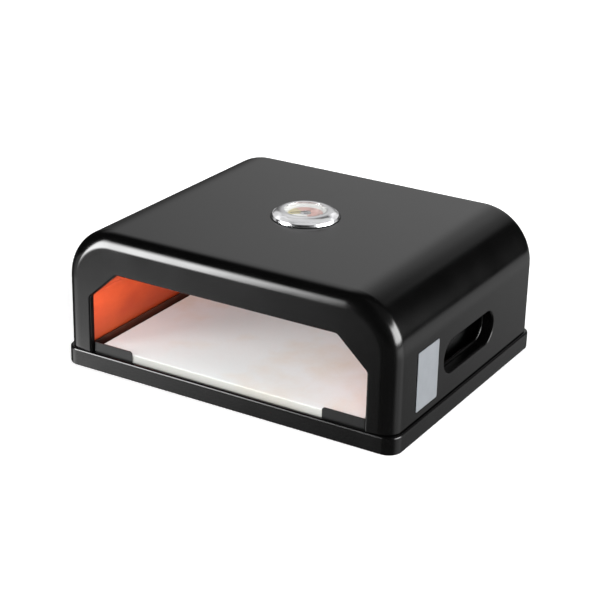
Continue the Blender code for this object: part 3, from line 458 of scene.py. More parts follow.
def make_collar(name, side):
    """Collar behind a grip slot: a rim against the hood, a tube inwards, and an edge rolled into the slot until
    it meets the tube again, so that fingers find no sharp edge."""
    radius, sheet, bead = SLOT_RADIUS, COLLAR_SHEET, COLLAR_BEAD
    meets = math.degrees(math.acos((bead - sheet) / bead)) - 360
    roll = arc((radius + sheet - bead, COLLAR_INNER_X + bead), bead, 0, meets, 4 * BEND_STEPS)
    under, tip = COLLAR_OUTER_X - sheet, radius + COLLAR_RIM
    mouth_bend = arc((radius + sheet, under), sheet, 90, 180)
    rim = [(radius + sheet, under), (tip, under), (tip, COLLAR_OUTER_X), mouth_bend[0]]
    profile = np.vstack([mouth_bend, roll[::-1], rim])
    rings = np.stack([slot_ring(reach, side * x) for reach, x in profile])
    dress(make_piece(name, [rings], toward=(side, 0, 0)), "hood_coat", "grip_" + name)


def rounded_ring(half_width, front, back, radius, height):
    """Rounded rectangle about x = 0 at one height, as four quarter circles about its corners' centres."""
    turn = np.add.outer(np.arange(4) * np.pi / 2, quarter(CORNER_STEPS))
    x = np.array([1, -1, -1, 1])[:, None] * (half_width - radius) + radius * np.cos(turn)
    y = np.array([back - radius] * 2 + [front + radius] * 2)[:, None] + radius * np.sin(turn)
    ring = grid(x.ravel(), y.ravel(), height)
    return np.vstack([ring, ring[:1]])


def tray_ring(insets, radius, height):
    """Ring of the tray, drawn in from its skirt at the sides, the front and the back."""
    half_width, front, back = (TRAY_HALF_WIDTH, TRAY_HALF_DEPTH, TRAY_HALF_DEPTH) - np.array(insets)
    return rounded_ring(half_width, -front, back, radius, height)


def skirt_ring(inset, height):
    """Ring of the tray's skirt, drawn in evenly."""
    return tray_ring([inset] * 3, TRAY_CORNER_RADIUS - inset, height)


def make_tray():
    """Pressed tray: foot flange, skirt, rounded upper edge, ledge, and a deck sunk round the heat opening."""
    bends = list(zip(*bend_shares()))
    foot, edge, bend = TRAY_FOOT_BEND, TRAY_EDGE_RADIUS, RECESS_BEND
    insets, corner = RECESS_INSETS, RECESS_CORNER_RADIUS
    rings = [
        skirt_ring(FOOT_FLANGE, 0),
        *(skirt_ring(foot * a, foot * b) for a, b in bends),
        *(skirt_ring(edge * b, TRAY_TOP - edge * a) for a, b in bends),
        *(tray_ring(insets - bend * a, corner + bend * a, TRAY_TOP - bend * b) for a, b in bends),
        *(tray_ring(insets + bend * b, corner - bend * b, DECK_TOP + bend * a) for a, b in bends),
        tray_ring(insets + DECK_WIDTH, HEAT_OPENING_RADIUS, DECK_TOP),
    ]
    tray = make_piece("tray_shell", [np.stack(rings)], wall=TRAY_SHEET)
    dress(tray, "tray_coat", "base_tray")


def make_liner():
    """Folded tunnel: flanges on the ledge, walls, slanting corners and roof, swept from front to back."""
    section = mouth_section(HOOD_BASE + LINER_BEND)
    y = line(liner_low.y, liner_high.y, RING_STEPS)
    ahead, behind = bend_shares()
    foot_x = MOUTH_HALF_WIDTH + LINER_OFFSET + LINER_BEND * behind
    foot_z = HOOD_BASE + LINER_BEND * ahead
    foot = grid(np.append(foot_x, LINER_FLANGE_TIP), y[:, None], np.append(foot_z, HOOD_BASE))
    tunnel = section_grid(section, LINER_OFFSET, y)
    liner = make_piece("liner_tunnel", mirrored([tunnel, foot]), toward=(0, 0, -1), wall=LINER_SHEET)
    dress(liner, "liner_steel", "inner_liner")


def make_rail(name, side):
    """Strip beside the slab, carried along its plan path round the front corner into the tab, whose upper end
    is rounded off as a quarter circle, with a leg under the slab."""
    front, outer = rail_low.y, rail_high.x
    corner = arc((outer - RAIL_BEND, front + RAIL_BEND), RAIL_BEND, 0, -90)
    side_y = line(rail_high.y, front + RAIL_BEND, CORNER_STEPS)[:-1]
    tab_x = line(outer - RAIL_BEND, TAB_TIP + TAB_CORNER_RADIUS, BEND_STEPS)[1:]
    tab_x = np.append(tab_x, TAB_TIP + TAB_CORNER_RADIUS * (1 - np.sin(quarter(RING_STEPS)[1:])))
    path = np.vstack([grid(outer, side_y), corner, grid(tab_x, front)])
    past_corner = np.clip(TAB_TIP + TAB_CORNER_RADIUS - path[:, 0], 0, TAB_CORNER_RADIUS)
    drop = TAB_CORNER_RADIUS - np.sqrt(TAB_CORNER_RADIUS**2 - past_corner**2)
    height = rail_low.z + (rail_high.z - rail_low.z - drop) * line(0, 1, STRIP_STEPS)[:, None]
    strip = grid(side * path[:, 0], path[:, 1], height)
    leg_x = line(outer, outer - RAIL_SHEET - RAIL_LEG, STRIP_STEPS)
    leg = grid(side * leg_x[:, None], side_y, rail_low.z)
    rail = make_piece(name, [strip, leg], toward=(side, 0, 0), wall=RAIL_SHEET)
    dress(rail, "rail_coat", "stone_" + name)


def make_stone():
    """Slab lofted through rounded rectangles, its edges rounded in quarter circles and its faces closed."""
    ahead, behind = (STONE_EDGE_RADIUS * share for share in bend_shares())
    rings = []
    for inset, height in [*zip(ahead, stone_low.z + behind), *zip(behind, stone_high.z - ahead)]:
        front, back = stone_low.y + inset, stone_high.y - inset
        rings.append(rounded_ring(stone_high.x - inset, front, back, STONE_CORNER_RADIUS - inset, height))
    middle = (0, (stone_low.y + stone_high.y) / 2, 0)
    caps = [ruled(ring, ring * (0, 0, 1) + middle, RING_STEPS) for ring in (rings[0], rings[-1])]
    stone = make_piece("baking_slab", [np.stack(rings), *caps])
    dress(stone, "slab_ceramic", "pizza_stone", body="slab")


def make_plate():
    """Thin bare plate with rounded corners and slightly rounded edges, lofted outwards from the hood."""
    middle_y = (plate_low.y + plate_high.y) / 2
    half_y = (plate_high.y - plate_low.y) / 2
    ahead, behind = (PLATE_EDGE_RADIUS * share for share in bend_shares(FEW_STEPS))
    rings = []
    for inset, x in [(0, plate_low.x), *zip(behind, plate_high.x - ahead)]:
        radius = PLATE_CORNER_RADIUS - inset
        ring = rounded_ring(half_y - inset, plate_low.z + inset, plate_high.z - inset, radius, 0)
        rings.append(grid(x, middle_y + ring[:, 0], ring[:, 1]))
    caps = [ruled(ring, ring.mean(0) + np.zeros_like(ring), 2) for ring in (rings[0], rings[-1])]
    plate = make_piece("bare_plate", [np.stack(rings), *caps], toward=(1, 0, 0))
    dress(plate, "plate_metal", "data_plate")


def turn_piece(name, profile, finish, node):
    """Piece that is turned about the thermometer's axis and stands in for a node."""
    piece = make_piece(name, [turned(profile)])
    dress(piece, finish, node)
    return piece


def bezel_dome(inset):
    """Dome of the bezel as a curve of the second degree: foot (1 - t)^2 + crest 2 t (1 - t) + window t^2, drawn
    in by an inset."""
    share = line(0, 1, DOME_STEPS)[:, None]
    curve = DOME_FOOT * (1 - share) ** 2 + DOME_CREST * 2 * share * (1 - share) + WINDOW_EDGE * share**2
    return curve - inset * np.hstack([1 - share**2, share**2])


def make_bezel():
    """Pressed bezel, turned about the thermometer's axis: skirt, groove, dome and rolled lip."""
    bend = BEZEL_BEND
    profile = [
        [SKIRT_FOOT, SKIRT_TOP - (0, bend)],
        arc(SKIRT_TOP - (bend, bend), bend, 0, 90, SMALL_BEND_STEPS),
        [GROOVE_FLOOR],
        bezel_dome(0),
        arc(WINDOW_EDGE - (0, bend / 2), bend / 2, 90, 180, SMALL_BEND_STEPS)[1:],
        bezel_dome(BEZEL_SHEET)[::-1],
        [(DOME_FOOT[0] - BEZEL_SHEET, SKIRT_FOOT[1]), SKIRT_FOOT],
    ]
    turn_piece("gauge_bezel_dome", np.vstack(profile), "chrome_bezel", "gauge_bezel")


def make_seal():
    """Flat rubber ring under the bezel with a rounded outer edge."""
    half, neck = SEAL_SHEET / 2, NECK_HOLE_RADIUS
    edge = arc((SEAL_RADIUS - half, seal_low.z + half), half, -90, 90, 2 * SMALL_BEND_STEPS)
    top = seal_low.z + SEAL_SHEET
    profile = np.vstack([[(neck, seal_low.z)], edge, [(neck, top), (neck, seal_low.z)]])
    turn_piece("gauge_seal_ring", profile, "seal_rubber", "gauge_seal")


def make_cup():
    """Cup behind the dial: a floor, a wall, and an edge turned in under the glass."""
    floor = seal_low.z + SEAL_SHEET + CUP_SHEET
    top = WINDOW_EDGE[1] - BEZEL_SHEET - LENS_SHEET - FIT_GAP
    foot, under = floor - CUP_SHEET, top - CUP_SHEET
    hole, ledge = NECK_HOLE_RADIUS, LENS_RADIUS - CUP_LEDGE
    outside, inside = CUP_RADIUS, CUP_RADIUS - CUP_SHEET
    profile = [(hole, foot), (outside, foot), (outside, top), (ledge, top), (ledge, under)]
    profile += [(inside, under), (inside, floor), (hole, floor), (hole, foot)]
    turn_piece("gauge_cup", profile, "zinc_steel", "gauge_case")


def make_lens():
    """Clear disc, slightly crowned: its faces rise by crown (1 - (r / radius)^2)."""
    base = WINDOW_EDGE[1] - BEZEL_SHEET - LENS_SHEET
    radius = line(0, LENS_RADIUS, DOME_STEPS)
    under = grid(radius, base + LENS_CROWN * (1 - (radius / LENS_RADIUS) ** 2))
    over = under[::-1] + (0, LENS_SHEET)
    lens = turn_piece("gauge_window", np.vstack([under, over]), "gauge_glass", "gauge_lens")
    lens.visible_shadow = False


def dial_point(radius, degrees, height):
    """Point on the dial at a radius and an angle that counts anticlockwise from +X."""
    turn = math.radians(degrees)
    return radius * math.cos(turn), radius * math.sin(turn), height


def dial_ticks(height):
    """Thin strips across the edge of the scale, longer at each numeral, as one patch for each."""
    inner, short, long = TICK_RADII
    half = math.degrees(TICK_WIDTH / 2 / inner)
    ticks = []
    for step in range(TICKS + 1):
        degrees = COLD_END - SWEEP * step / TICKS
        ends = (inner, short if step % TICKS_PER_NUMERAL else long)
        corners = [[dial_point(end, degrees + side * half, height) for side in (-1, 1)] for end in ends]
        ticks.append(np.array(corners))
    return ticks


def print_text(words, place):
    """Flat letters as a mesh, centred on a place on the dial and read from the front."""
    letters = bpy.data.curves.new(words, "FONT")
    letters.body = words
    letters.size = NUMERAL_HEIGHT
    letters.align_x = letters.align_y = "CENTER"
    letters.resolution_u = 3
    carrier = put(words, letters)
    mesh = bpy.data.meshes.new_from_object(carrier.evaluated_get(bpy.context.evaluated_depsgraph_get()))
    bpy.data.objects.remove(carrier)
    mesh.transform(Matrix.Translation(place))
    return mesh


def print_piece(name, meshes, finish):
    """One piece from flat meshes that are printed on the dial."""
    work = bmesh.new()
    for mesh in meshes:
        work.from_mesh(mesh)
    whole = bpy.data.meshes.new(name)
    work.to_mesh(whole)
    work.free()
    dress(put(name, whole), finish)


def make_dial():
    """Enamelled dish with its scale: a flat floor, a rim that rises to the glass, ticks, and plain numerals for
    hundreds of degrees."""
    top, base = dial_high.z - DIAL_DROP, dial_low.z - DIAL_DROP
    hole, reach, sheet = DIAL_HOLE_RADIUS, DIAL_RADIUS, top - base
    floor_bend = arc((reach - 2 * sheet, top + sheet), sheet, -90, 0)
    outside = [(hole, base), (reach - sheet, base), (reach, base + sheet), (reach, top + DIAL_RIM)]
    rim = [(reach - sheet, top + DIAL_RIM)]
    profile = np.vstack([outside, rim, floor_bend[::-1], [(hole, top), (hole, base)]])
    turn_piece("gauge_scale", profile, "dial_paint", "gauge_dial")
    height = top + PRINT_HEIGHT
    dress(make_piece("gauge_ticks", dial_ticks(height)), "pointer_paint")
    parts = TICKS // TICKS_PER_NUMERAL
    numerals = [
        print_text(str(100 * step), dial_point(NUMERAL_RADIUS, COLD_END - SWEEP * step / parts, height))
        for step in range(parts + 1)
    ]
    print_piece("gauge_numerals", numerals, "pointer_paint")
    print_piece("gauge_unit", [print_text("\u00b0C", dial_point(NUMERAL_RADIUS, UNIT_AT, height))], "unit_paint")


def make_hand():
    """Tapered hand: rectangular sections along its length, as wide as its taper or as its round hub, whichever
    is wider, turned to the cold end."""
    wide, narrow = HAND_HALF_WIDTHS
    parts = [
        -HAND_TAIL + (HAND_TAIL - HAND_HUB_RADIUS) * line(0, 1, STRIP_STEPS)[:-1],
        HAND_HUB_RADIUS * line(-1, 1, TURNED_SIDES // 4),
        HAND_HUB_RADIUS + (HAND_LENGTH - HAND_HUB_RADIUS) * line(0, 1, RING_STEPS)[1:],
    ]
    along = np.concatenate(parts)
    taper = np.interp(along, [-HAND_TAIL, 0, HAND_LENGTH], [wide, wide, narrow])
    hub = np.sqrt(np.maximum(HAND_HUB_RADIUS**2 - along**2, 0))
    half = np.pad(np.maximum(taper, hub), 1)
    along = np.pad(along, 1, mode="edge")
    across = half[:, None] * np.array([-1, 1, 1, -1, -1])
    low, high = hand_low.z, hand_high.z
    height = np.broadcast_to([low, low, high, high, low], across.shape).copy()
    height[[0, -1]] = (low + high) / 2
    turn = math.radians(COLD_END)
    x = along[:, None] * math.cos(turn) - across * math.sin(turn)
    y = along[:, None] * math.sin(turn) + across * math.cos(turn)
    hand = make_piece("gauge_hand", [grid(x, y, height)])
    dress(hand, "pointer_paint", "gauge_pointer", body="pointer")


# Finishes

# A noise lies mostly between these two values
SPREAD = (0.35, 0.65)
# Places of a colour Mix node's factor and two colours among its inputs, and of its result
MIX_INPUTS, MIX_RESULT = (0, 6, 7), 2
# How far soot reaches down from the roof, how far the liner's darker red-brown reaches up from the slab, and how
# far the rails' black paint reaches back from the tabs before their painted firelight
SOOT_DEPTH = 16 * MM
TINT_HEIGHT = 45 * MM
PAINTED_FIRELIGHT_DEPTH = 40 * MM
# A place inside the liner. A face that looks away from it is on the outer side
LINER_MIDDLE = (0, 0, HOOD_BASE + 20 * MM)


def add_node(tree, kind, inputs=(), out=0, **settings):
    """Adds a node with its settings and returns one of its outputs. Its inputs come in turn or by name. Each is
    an output that it is linked from, a constant, or a colour's hex code."""
    made = tree.nodes.new("ShaderNode" + kind)
    if kind == "Mix":
        made.data_type, inputs, out = "RGBA", dict(zip(MIX_INPUTS, inputs)), MIX_RESULT
    for name, value in settings.items():
        setattr(made, name, value)
    for key, value in inputs.items() if isinstance(inputs, dict) else enumerate(inputs):
        if isinstance(value, bpy.types.NodeSocket):
            tree.links.new(value, made.inputs[key])
        else:
            made.inputs[key].default_value = linear(value) if isinstance(value, str) else value
    return made.outputs[out] if made.outputs else None


def new_material(name):
    """An empty node material, what adds nodes to it, and the piece's own coordinates in metres."""
    made = bpy.data.materials.new(name)
    made.use_nodes = True
    made.node_tree.nodes.clear()
    add = functools.partial(add_node, made.node_tree)
    return made, add, add("TexCoord", out="Object")


def finish(made, add, inputs, height, depth=0.01 * MM, strength=0.2):
    """Ends a material with its shader. A height between 0 and 1 becomes relief of the given depth."""
    normal = add("Bump", {"Height": height, "Distance": depth, "Strength": strength})
    shader = add("BsdfPrincipled", {**inputs, "Normal": normal})
    add("OutputMaterial", {"Surface": shader})
    return made


def patches_of(add, place, size, detail=3.0, stretch=(1, 1, 1)):
    """Soft random patches about as large as size, drawn out along an axis whose stretch is above 1."""
    mapped = add("Mapping", {"Vector": place, "Scale": [1 / (size * each) for each in stretch]})
    return add("TexNoise", {"Vector": mapped, "Scale": 1.0, "Detail": detail})


def joined(add, operation, *values):
    """All the values joined, one after another, by one kind of sum."""
    return functools.reduce(lambda total, value: add("Math", (total, value), operation=operation), values)


def drifting(name, size, colours, inputs, grain=None, depth=0.01 * MM, detail=3.0, strength=0.2):
    """Finish whose colour drifts between two in soft patches. An input that is a pair of numbers drifts with it.
    Its relief is a finer grain, given as patches_of takes it, or else the patches themselves."""
    made, add, place = new_material(name)
    drift = patches_of(add, place, size, detail)
    ready = {"Base Color": add("Mix", (drift, *colours))}
    for key, value in inputs.items():
        pair = isinstance(value, tuple)
        ready[key] = add("MapRange", (drift, *SPREAD, *value)) if pair else value
    return finish(made, add, ready, patches_of(add, place, *grain) if grain else drift, depth, strength)


def powder_coat(name, gloss):
    """Black powder, sprayed and melted into a glossy skin: a faint orange peel bends its reflections a little,
    and its gloss changes slowly from place to place."""
    peel = (2.2 * MM, 1.0)
    colours = ("#030303", "#060606")
    return drifting(name, 55 * MM, colours, {"Roughness": gloss}, peel, 0.02 * MM, strength=0.15)


def rail_paint_with_painted_firelight():
    """Thin black paint on the rails. Beside the slab it is painted brown in patches, painted firelight standing
    in for the fire's glow, and it is rougher there, while the tabs in front stay black."""
    made, add, place = new_material("black_paint_with_brown_painted_firelight")
    patch = patches_of(add, place, 18 * MM)
    depth = add("SeparateXYZ", [place], "Y")
    inside = add("MapRange", (depth, rail_low.y + RAIL_BEND, rail_low.y + PAINTED_FIRELIGHT_DEPTH, 0.0, 1.0))
    # Painted firelight: brown patches deeper in, away from the tabs
    firelight_patches = joined(add, "MULTIPLY", patch, inside)
    colour = add("Mix", (firelight_patches, "#070707", "#6A3A2C"))
    roughness = add("MapRange", (firelight_patches, *SPREAD, 0.38, 0.55))
    grain = patches_of(add, place, 0.6 * MM)
    return finish(made, add, {"Base Color": colour, "Roughness": roughness}, grain, 0.04 * MM)


def tinted_steel_with_painted_firelight():
    """Rolled steel in orange that drifts towards red in soft clouds: partly heat tint and partly painted firelight,
    the fire's glow painted into its colour. Near the slab it is darker and red-brown. Soot lies under the roof,
    over a fine grain from the rolls. Its outer side is painted near-black: painted shade, for the dark seen
    through the grip slots."""
    made, add, place = new_material("rolled_steel_with_heat_tint_and_painted_firelight")
    drift = patches_of(add, place, 38 * MM, 5.0, (1, 1.8, 1))
    # Painted firelight: this orange is partly heat tint and partly the fire's glow painted into the colour
    tint = add("Mix", (add("MapRange", (drift, *SPREAD, 0.0, 1.0)), "#D2461E", "#EC6032"))
    height = add("SeparateXYZ", [place], "Z")
    under_roof = add("MapRange", (height, MOUTH_TOP - SOOT_DEPTH, MOUTH_TOP, 0.0, 1.0))
    sooty = add("Math", (under_roof, 0.35, drift), operation="MULTIPLY_ADD")
    tint = add("Mix", (joined(add, "MULTIPLY", sooty, under_roof), tint, "#241711"))
    # Darker and red-brown towards the slab, fading out TINT_HEIGHT above it
    low_down = add("MapRange", (height, stone_high.z, stone_high.z + TINT_HEIGHT, 0.55, 0.0))
    tint = add("Mix", (low_down, tint, "#7A3A1E"))
    # Painted shade: faces on the outer side get a near-black colour, for the dark seen through the grip slots
    normal = add("TexCoord", out="Normal")
    outwards = add("VectorMath", (place, LINER_MIDDLE), operation="SUBTRACT")
    side = add("VectorMath", (normal, outwards), "Value", operation="DOT_PRODUCT")
    outer = add("MapRange", (side, -2 * MM, 2 * MM, 0.0, 1.0))
    inputs = {
        "Base Color": add("Mix", (outer, tint, "#080808")),
        "Roughness": add("MapRange", (drift, *SPREAD, 0.36, 0.5)),
        "Metallic": 0.25,
    }
    return finish(made, add, inputs, patches_of(add, place, 0.25 * MM, stretch=(1, 60, 1)), 0.02 * MM)


def fired_cordierite():
    """Pressed and fired ceramic: cream white, with fine darker grog, pores, and faintly toasted patches. Its
    sides are painted greyer than its top: painted shade."""
    made, add, place = new_material("fired_cordierite")
    toast = add("MapRange", (patches_of(add, place, 60 * MM, 6.0), 0.5, 0.8, 0.0, 1.0))
    colour = add("Mix", (toast, "#DFE5E5", "#DAD5CA"))
    specks = add("TexVoronoi", {"Vector": place, "Scale": 1 / (1.3 * MM)})
    specks = add("MapRange", (specks, 0.1, 0.22, 0.5, 0.0))
    colour = add("Mix", (specks, colour, "#B5A48F"))
    height = add("SeparateXYZ", [place], "Z")
    # Painted shade: the sides are coloured darker grey than the top
    side = add("MapRange", (height, stone_high.z - 0.7 * MM, stone_high.z - 0.02 * MM, 0.75, 0.0))
    inputs = {"Base Color": add("Mix", (side, colour, "#8E8B84")), "Roughness": 0.85}
    return finish(made, add, inputs, patches_of(add, place, 0.7 * MM, 6.0), 0.15 * MM, 0.4)


def dial_enamel():
    """Stoved white enamel with its scale's zones printed in olive yellow and warm red."""
    made, add, place = new_material("stoved_enamel_with_printed_zones")
    x, y, _ = add("SeparateXYZ", [place]).node.outputs
    reach = add("VectorMath", [add("CombineXYZ", (x, y))], "Value", operation="LENGTH")
    # The scale's angle, counted clockwise from its cold end: cold - atan2(y, x), kept between 0 and 360
    angle = add("Math", (y, x), operation="ARCTAN2")
    angle = add("Math", [angle], operation="DEGREES")
    angle = add("Math", (COLD_END, angle), operation="SUBTRACT")
    angle = add("Math", (angle, 360, 0), operation="WRAP")
    warm_at = COLD_END - WARM_FROM
    warm = add("MapRange", (angle, warm_at - 1, warm_at + 1, 0.0, 1.0))
    zone = add("Mix", (warm, "#9A8E5C", "#A67C74"))
    inner, outer = ZONE_RADII
    edge = 0.1 * MM
    inside = add("MapRange", (reach, inner - edge, inner + edge, 0.0, 1.0))
    outside = add("MapRange", (reach, outer - edge, outer + edge, 1.0, 0.0))
    swept = add("MapRange", (angle, SWEEP - 0.5, SWEEP + 0.5, 1.0, 0.0))
    colour = add("Mix", (joined(add, "MULTIPLY", inside, outside, swept), "#C6C6C4", zone))
    return finish(made, add, {"Base Color": colour, "Roughness": 0.35}, patches_of(add, place, 0.8 * MM))


def moulded_silicone():
    """Black silicone, moulded: matt, with the mould's fine grain and a little dust."""
    made, add, place = new_material("moulded_black_silicone")
    dust = add("MapRange", (patches_of(add, place, 4 * MM), *SPREAD, 0.0, 0.3))
    inputs = {"Base Color": add("Mix", (dust, "#070707", "#1C1C1C")), "Roughness": 0.6}
    return finish(made, add, inputs, patches_of(add, place, 0.3 * MM), 0.03 * MM)


def zinc_plate():
    """Bright zinc plate: small crystals that differ in tone and gloss."""
    made, add, place = new_material("bright_zinc_plate")
    crystal = add("TexVoronoi", {"Vector": place, "Scale": 1 / (2.5 * MM)}, "Color")
    tone = add("SeparateXYZ", [crystal])
    colour = add("Mix", (tone, "#B9BCC0", "#D4D6D8"))
    roughness = add("MapRange", (tone, 0.0, 1.0, 0.28, 0.42))
    inputs = {"Base Color": colour, "Metallic": 1.0, "Roughness": roughness}
    return finish(made, add, inputs, patches_of(add, place, 0.4 * MM), 0.02 * MM)


def satin_aluminium():
    """Thin rolled aluminium with a satin face: a fine upright grain spreads its reflections."""
    made, add, place = new_material("satin_rolled_aluminium")
    grain = patches_of(add, place, 0.18 * MM, stretch=(1, 1, 50))
    colour = add("Mix", (patches_of(add, place, 14 * MM), "#9CA0A5", "#ABAFB4"))
    roughness = add("MapRange", (grain, *SPREAD, 0.36, 0.46))
    return finish(made, add, {"Base Color": colour, "Metallic": 0.75, "Roughness": roughness}, grain)


INK = {"Roughness": 0.5}
MATERIALS = {
    "hood_coat": powder_coat("black_powder_coat", (0.13, 0.17)),
    # Powder coat under soot, at the mouth's edge: matt, hardly mirroring anything, in uneven smears
    "sooty_coat": drifting(
        "black_powder_coat_under_soot", 12 * MM, ("#040404", "#0D0B0A"),
        {"Roughness": (0.5, 0.7), "Specular IOR Level": 0.12}, [0.5 * MM], 0.03 * MM, detail=5.0,
    ),
    "tray_coat": powder_coat("black_powder_coat_on_the_tray", (0.17, 0.22)),
    "rail_coat": rail_paint_with_painted_firelight(),
    "liner_steel": tinted_steel_with_painted_firelight(),
    "slab_ceramic": fired_cordierite(),
    # Chrome plate over a pressed and polished bezel: bright, with a faint haze left by the polishing
    "chrome_bezel": drifting(
        "polished_chrome_plate", 7 * MM, ("#E9E9EC", "#F4F4F5"),
        {"Metallic": 1.0, "Roughness": (0.19, 0.25)}, [1.2 * MM],
    ),
    # Clear glass with the slightest waviness
    "gauge_glass": drifting(
        "clear_pressed_glass", 9 * MM, ("#FAFCFC", "#FFFFFF"),
        {"Transmission Weight": 1.0, "Roughness": 0.02, "IOR": 1.45}, depth=0.02 * MM, detail=1.0,
    ),
    "dial_paint": dial_enamel(),
    # Screen-printed or sprayed colour with a slight unevenness
    "pointer_paint": drifting("black_screen_ink", 1.5 * MM, ("#090909", "#141414"), INK),
    "unit_paint": drifting("blue_screen_ink", 1.5 * MM, ("#5B7BC4", "#6B8ACF"), INK),
    "seal_rubber": moulded_silicone(),
    "zinc_steel": zinc_plate(),
    "plate_metal": satin_aluminium(),
    # Two rolled metals bonded in one strip: brassy, with grain along it and a little tarnish
    "bimetal_strip": drifting(
        "rolled_bimetal_strip", 2 * MM, ("#B8935A", "#8E6B3C"),
        {"Metallic": 1.0, "Roughness": (0.25, 0.4)}, (0.1 * MM, 3.0, (1, 1, 20)),
    ),
}

make_hood()
make_tray()
make_liner()
make_stone()
make_plate()
make_seal()
make_cup()
make_bezel()
make_lens()
make_dial()
make_hand()
for side_name, side_sign in (("left", -1), ("right", 1)):
    make_collar(f"collar_{side_name}", side_sign)
    make_rail(f"rail_{side_name}", side_sign)

for row in frame["record"]["subparts"]:
    cad_node = frame["nodes"][row["node"]]
    if not cad_node.hide_render:
        cad_node.data.materials.clear()
        cad_node.data.materials.append(MATERIALS[row["material_slot"]])


# Studio

# The photograph's viewpoint, in metres and degrees, and its lens in mm
CAMERA_PLACE = (0.89179, -1.51293, 0.80853)
CAMERA_AZIMUTH, CAMERA_ELEVATION, CAMERA_ROLL = 30.648, 22.932, 1.273
CAMERA_LENS = 101.04

# Lights as place, target, width and height in metres, and radiance
OVERHEAD = ((-0.25, 0.1, 2.2), (0, 0, 0), 1.8, 1.8, 1.7)
FRONT_FILL = ((0.86, -1.46, 0.95), (0, -0.1, 0.05), 1.0, 1.0, 6.0)
CAVITY_FILL = ((0.8, -2.9, 0.47), (0, -0.1, 0.05), 2.4, 0.76, 21.0)
SLAB_LIGHT = ((0.1, -1.0, 1.4), (0, -0.1, 0.03), 1.0, 1.0, 5.6)
CARD_RADIANCE = 0.7
CARD_DISTANCE = 1.3
# Each card as name, azimuth and elevation in degrees, width and height
GAUGE_CARDS = (
    ("card_in_front", 149, 60, 1.5, 0.95),
    ("card_above", -31, 82, 1.5, 0.75),
    ("card_on_the_left", -110, 38, 1.5, 1.0),
    ("card_on_the_right", 58, 38, 1.5, 1.0),
    ("card_behind_left", -76, 13, 1.0, 1.1),
    ("card_behind_right", 13, 14, 0.9, 1.1),
)


def make_camera():
    """Camera at the photograph's place, found by fitting the oven's box and inner edges to the picture."""
    azimuth, elevation, roll = (math.radians(a) for a in (CAMERA_AZIMUTH, CAMERA_ELEVATION, CAMERA_ROLL))
    level_reach = math.cos(elevation)
    back = Vector((math.sin(azimuth) * level_reach, -math.cos(azimuth) * level_reach, math.sin(elevation)))
    level = Vector((math.cos(azimuth), math.sin(azimuth), 0))
    upright = back.cross(level)
    right = level * math.cos(roll) + upright * math.sin(roll)
    up = upright * math.cos(roll) - level * math.sin(roll)
    data = bpy.data.cameras.new("camera")
    data.lens = CAMERA_LENS
    camera = put("camera", data)
    turn = Matrix((right, up, back)).transposed()
    camera.matrix_world = Matrix.Translation(CAMERA_PLACE) @ turn.to_4x4()
    bpy.context.scene.camera = camera


def make_light(name, place, target, width, height, radiance):
    """Soft rectangle of light that faces a target. Its power is radiance times pi times its area."""
    data = bpy.data.lights.new(name, "AREA")
    data.shape = "RECTANGLE"
    data.size = width
    data.size_y = height
    data.energy = radiance * math.pi * width * height
    light = put(name, data)
    place = Vector(place)
    turn = (place - Vector(target)).to_track_quat("Z", "Y").to_matrix().to_4x4()
    light.matrix_world = Matrix.Translation(place) @ turn
    return light


def direction(azimuth, elevation):
    """Unit vector at an azimuth, from +Y towards +X, and an elevation, in degrees."""
    turn, rise = math.radians(azimuth), math.radians(elevation)
    return Vector((math.sin(turn) * math.cos(rise), math.cos(turn) * math.cos(rise), math.sin(rise)))


def group_of(name, *pieces):
    """Collection of pieces that a light is linked to."""
    group = bpy.data.collections.new(name)
    for piece in pieces:
        group.objects.link(bpy.data.objects[piece])
    return group


def make_lights():
    """Diffuse light from above and the front, a tent of white cards that only the thermometer's bright bezel
    mirrors, a light for the cavity's walls and rails alone, and one for the slab that the hood doesn't block.
    Gloss mirrors none of them but the cards."""
    diffuse = [make_light("overhead", *OVERHEAD), make_light("front_fill", *FRONT_FILL)]
    gauge = Vector((0, 0, HOOD_TOP))
    bezel = group_of("thermometer", "gauge_bezel_dome")
    for name, azimuth, elevation, width, height in GAUGE_CARDS:
        place = gauge + direction(azimuth, elevation) * CARD_DISTANCE
        card = make_light(name, place, gauge, width, height, CARD_RADIANCE)
        card.light_linking.receiver_collection = bezel
    cavity_fill = make_light("cavity_fill", *CAVITY_FILL)
    cavity_fill.light_linking.receiver_collection = group_of("cavity", "liner_tunnel", "rail_left", "rail_right")
    slab_light = make_light("slab_light", *SLAB_LIGHT)
    slab = group_of("slab", "baking_slab")
    slab_light.light_linking.receiver_collection = slab
    slab_light.light_linking.blocker_collection = slab
    for light in (*diffuse, cavity_fill, slab_light):
        light.visible_glossy = False


# The studio's brightness over azimuth, from +Y towards +X, and elevation, in degrees. A patch is a product of
# soft steps: from one angle to another it goes from one brightness to another. The left softbox has a side
# that bows out: its azimuth is counted from BOW times the square of the height over BOW_MIDDLE.
BOW, BOW_MIDDLE = 0.005, 8
AZIMUTH, ELEVATION, BOWED = range(3)
ALL = (0, 1)
SKY_PATCHES = {
    "haze": ((AZIMUTH, 30, 60, 0.015, 0.09), (AZIMUTH, 150, 110, *ALL)),
    "haze on the left": ((AZIMUTH, -60, -48, 0, 0.09), (AZIMUTH, -25, -34, *ALL), (ELEVATION, 30, 14, *ALL)),
    "halo on the right": (
        (AZIMUTH, 30.5, 40, 0, 0.42), (AZIMUTH, 120, 98, *ALL), (ELEVATION, 40, 15, *ALL), (ELEVATION, -4, 1, *ALL),
    ),
    "card behind": (
        (AZIMUTH, 18.5, 12.5, 0, 0.3), (AZIMUTH, -14, 0, *ALL), (ELEVATION, 22, 27, *ALL),
        (ELEVATION, 36.5, 30, *ALL),
    ),
}
SKY_GLOWS = ((-44, 46, 30, 1.1), (-19, 22, 32.5, 0.85))
LEFT_POOL = ((AZIMUTH, -146.8, -140, 0, 1.3), (AZIMUTH, -90, -110, *ALL), (ELEVATION, -29.5, -26.5, *ALL))
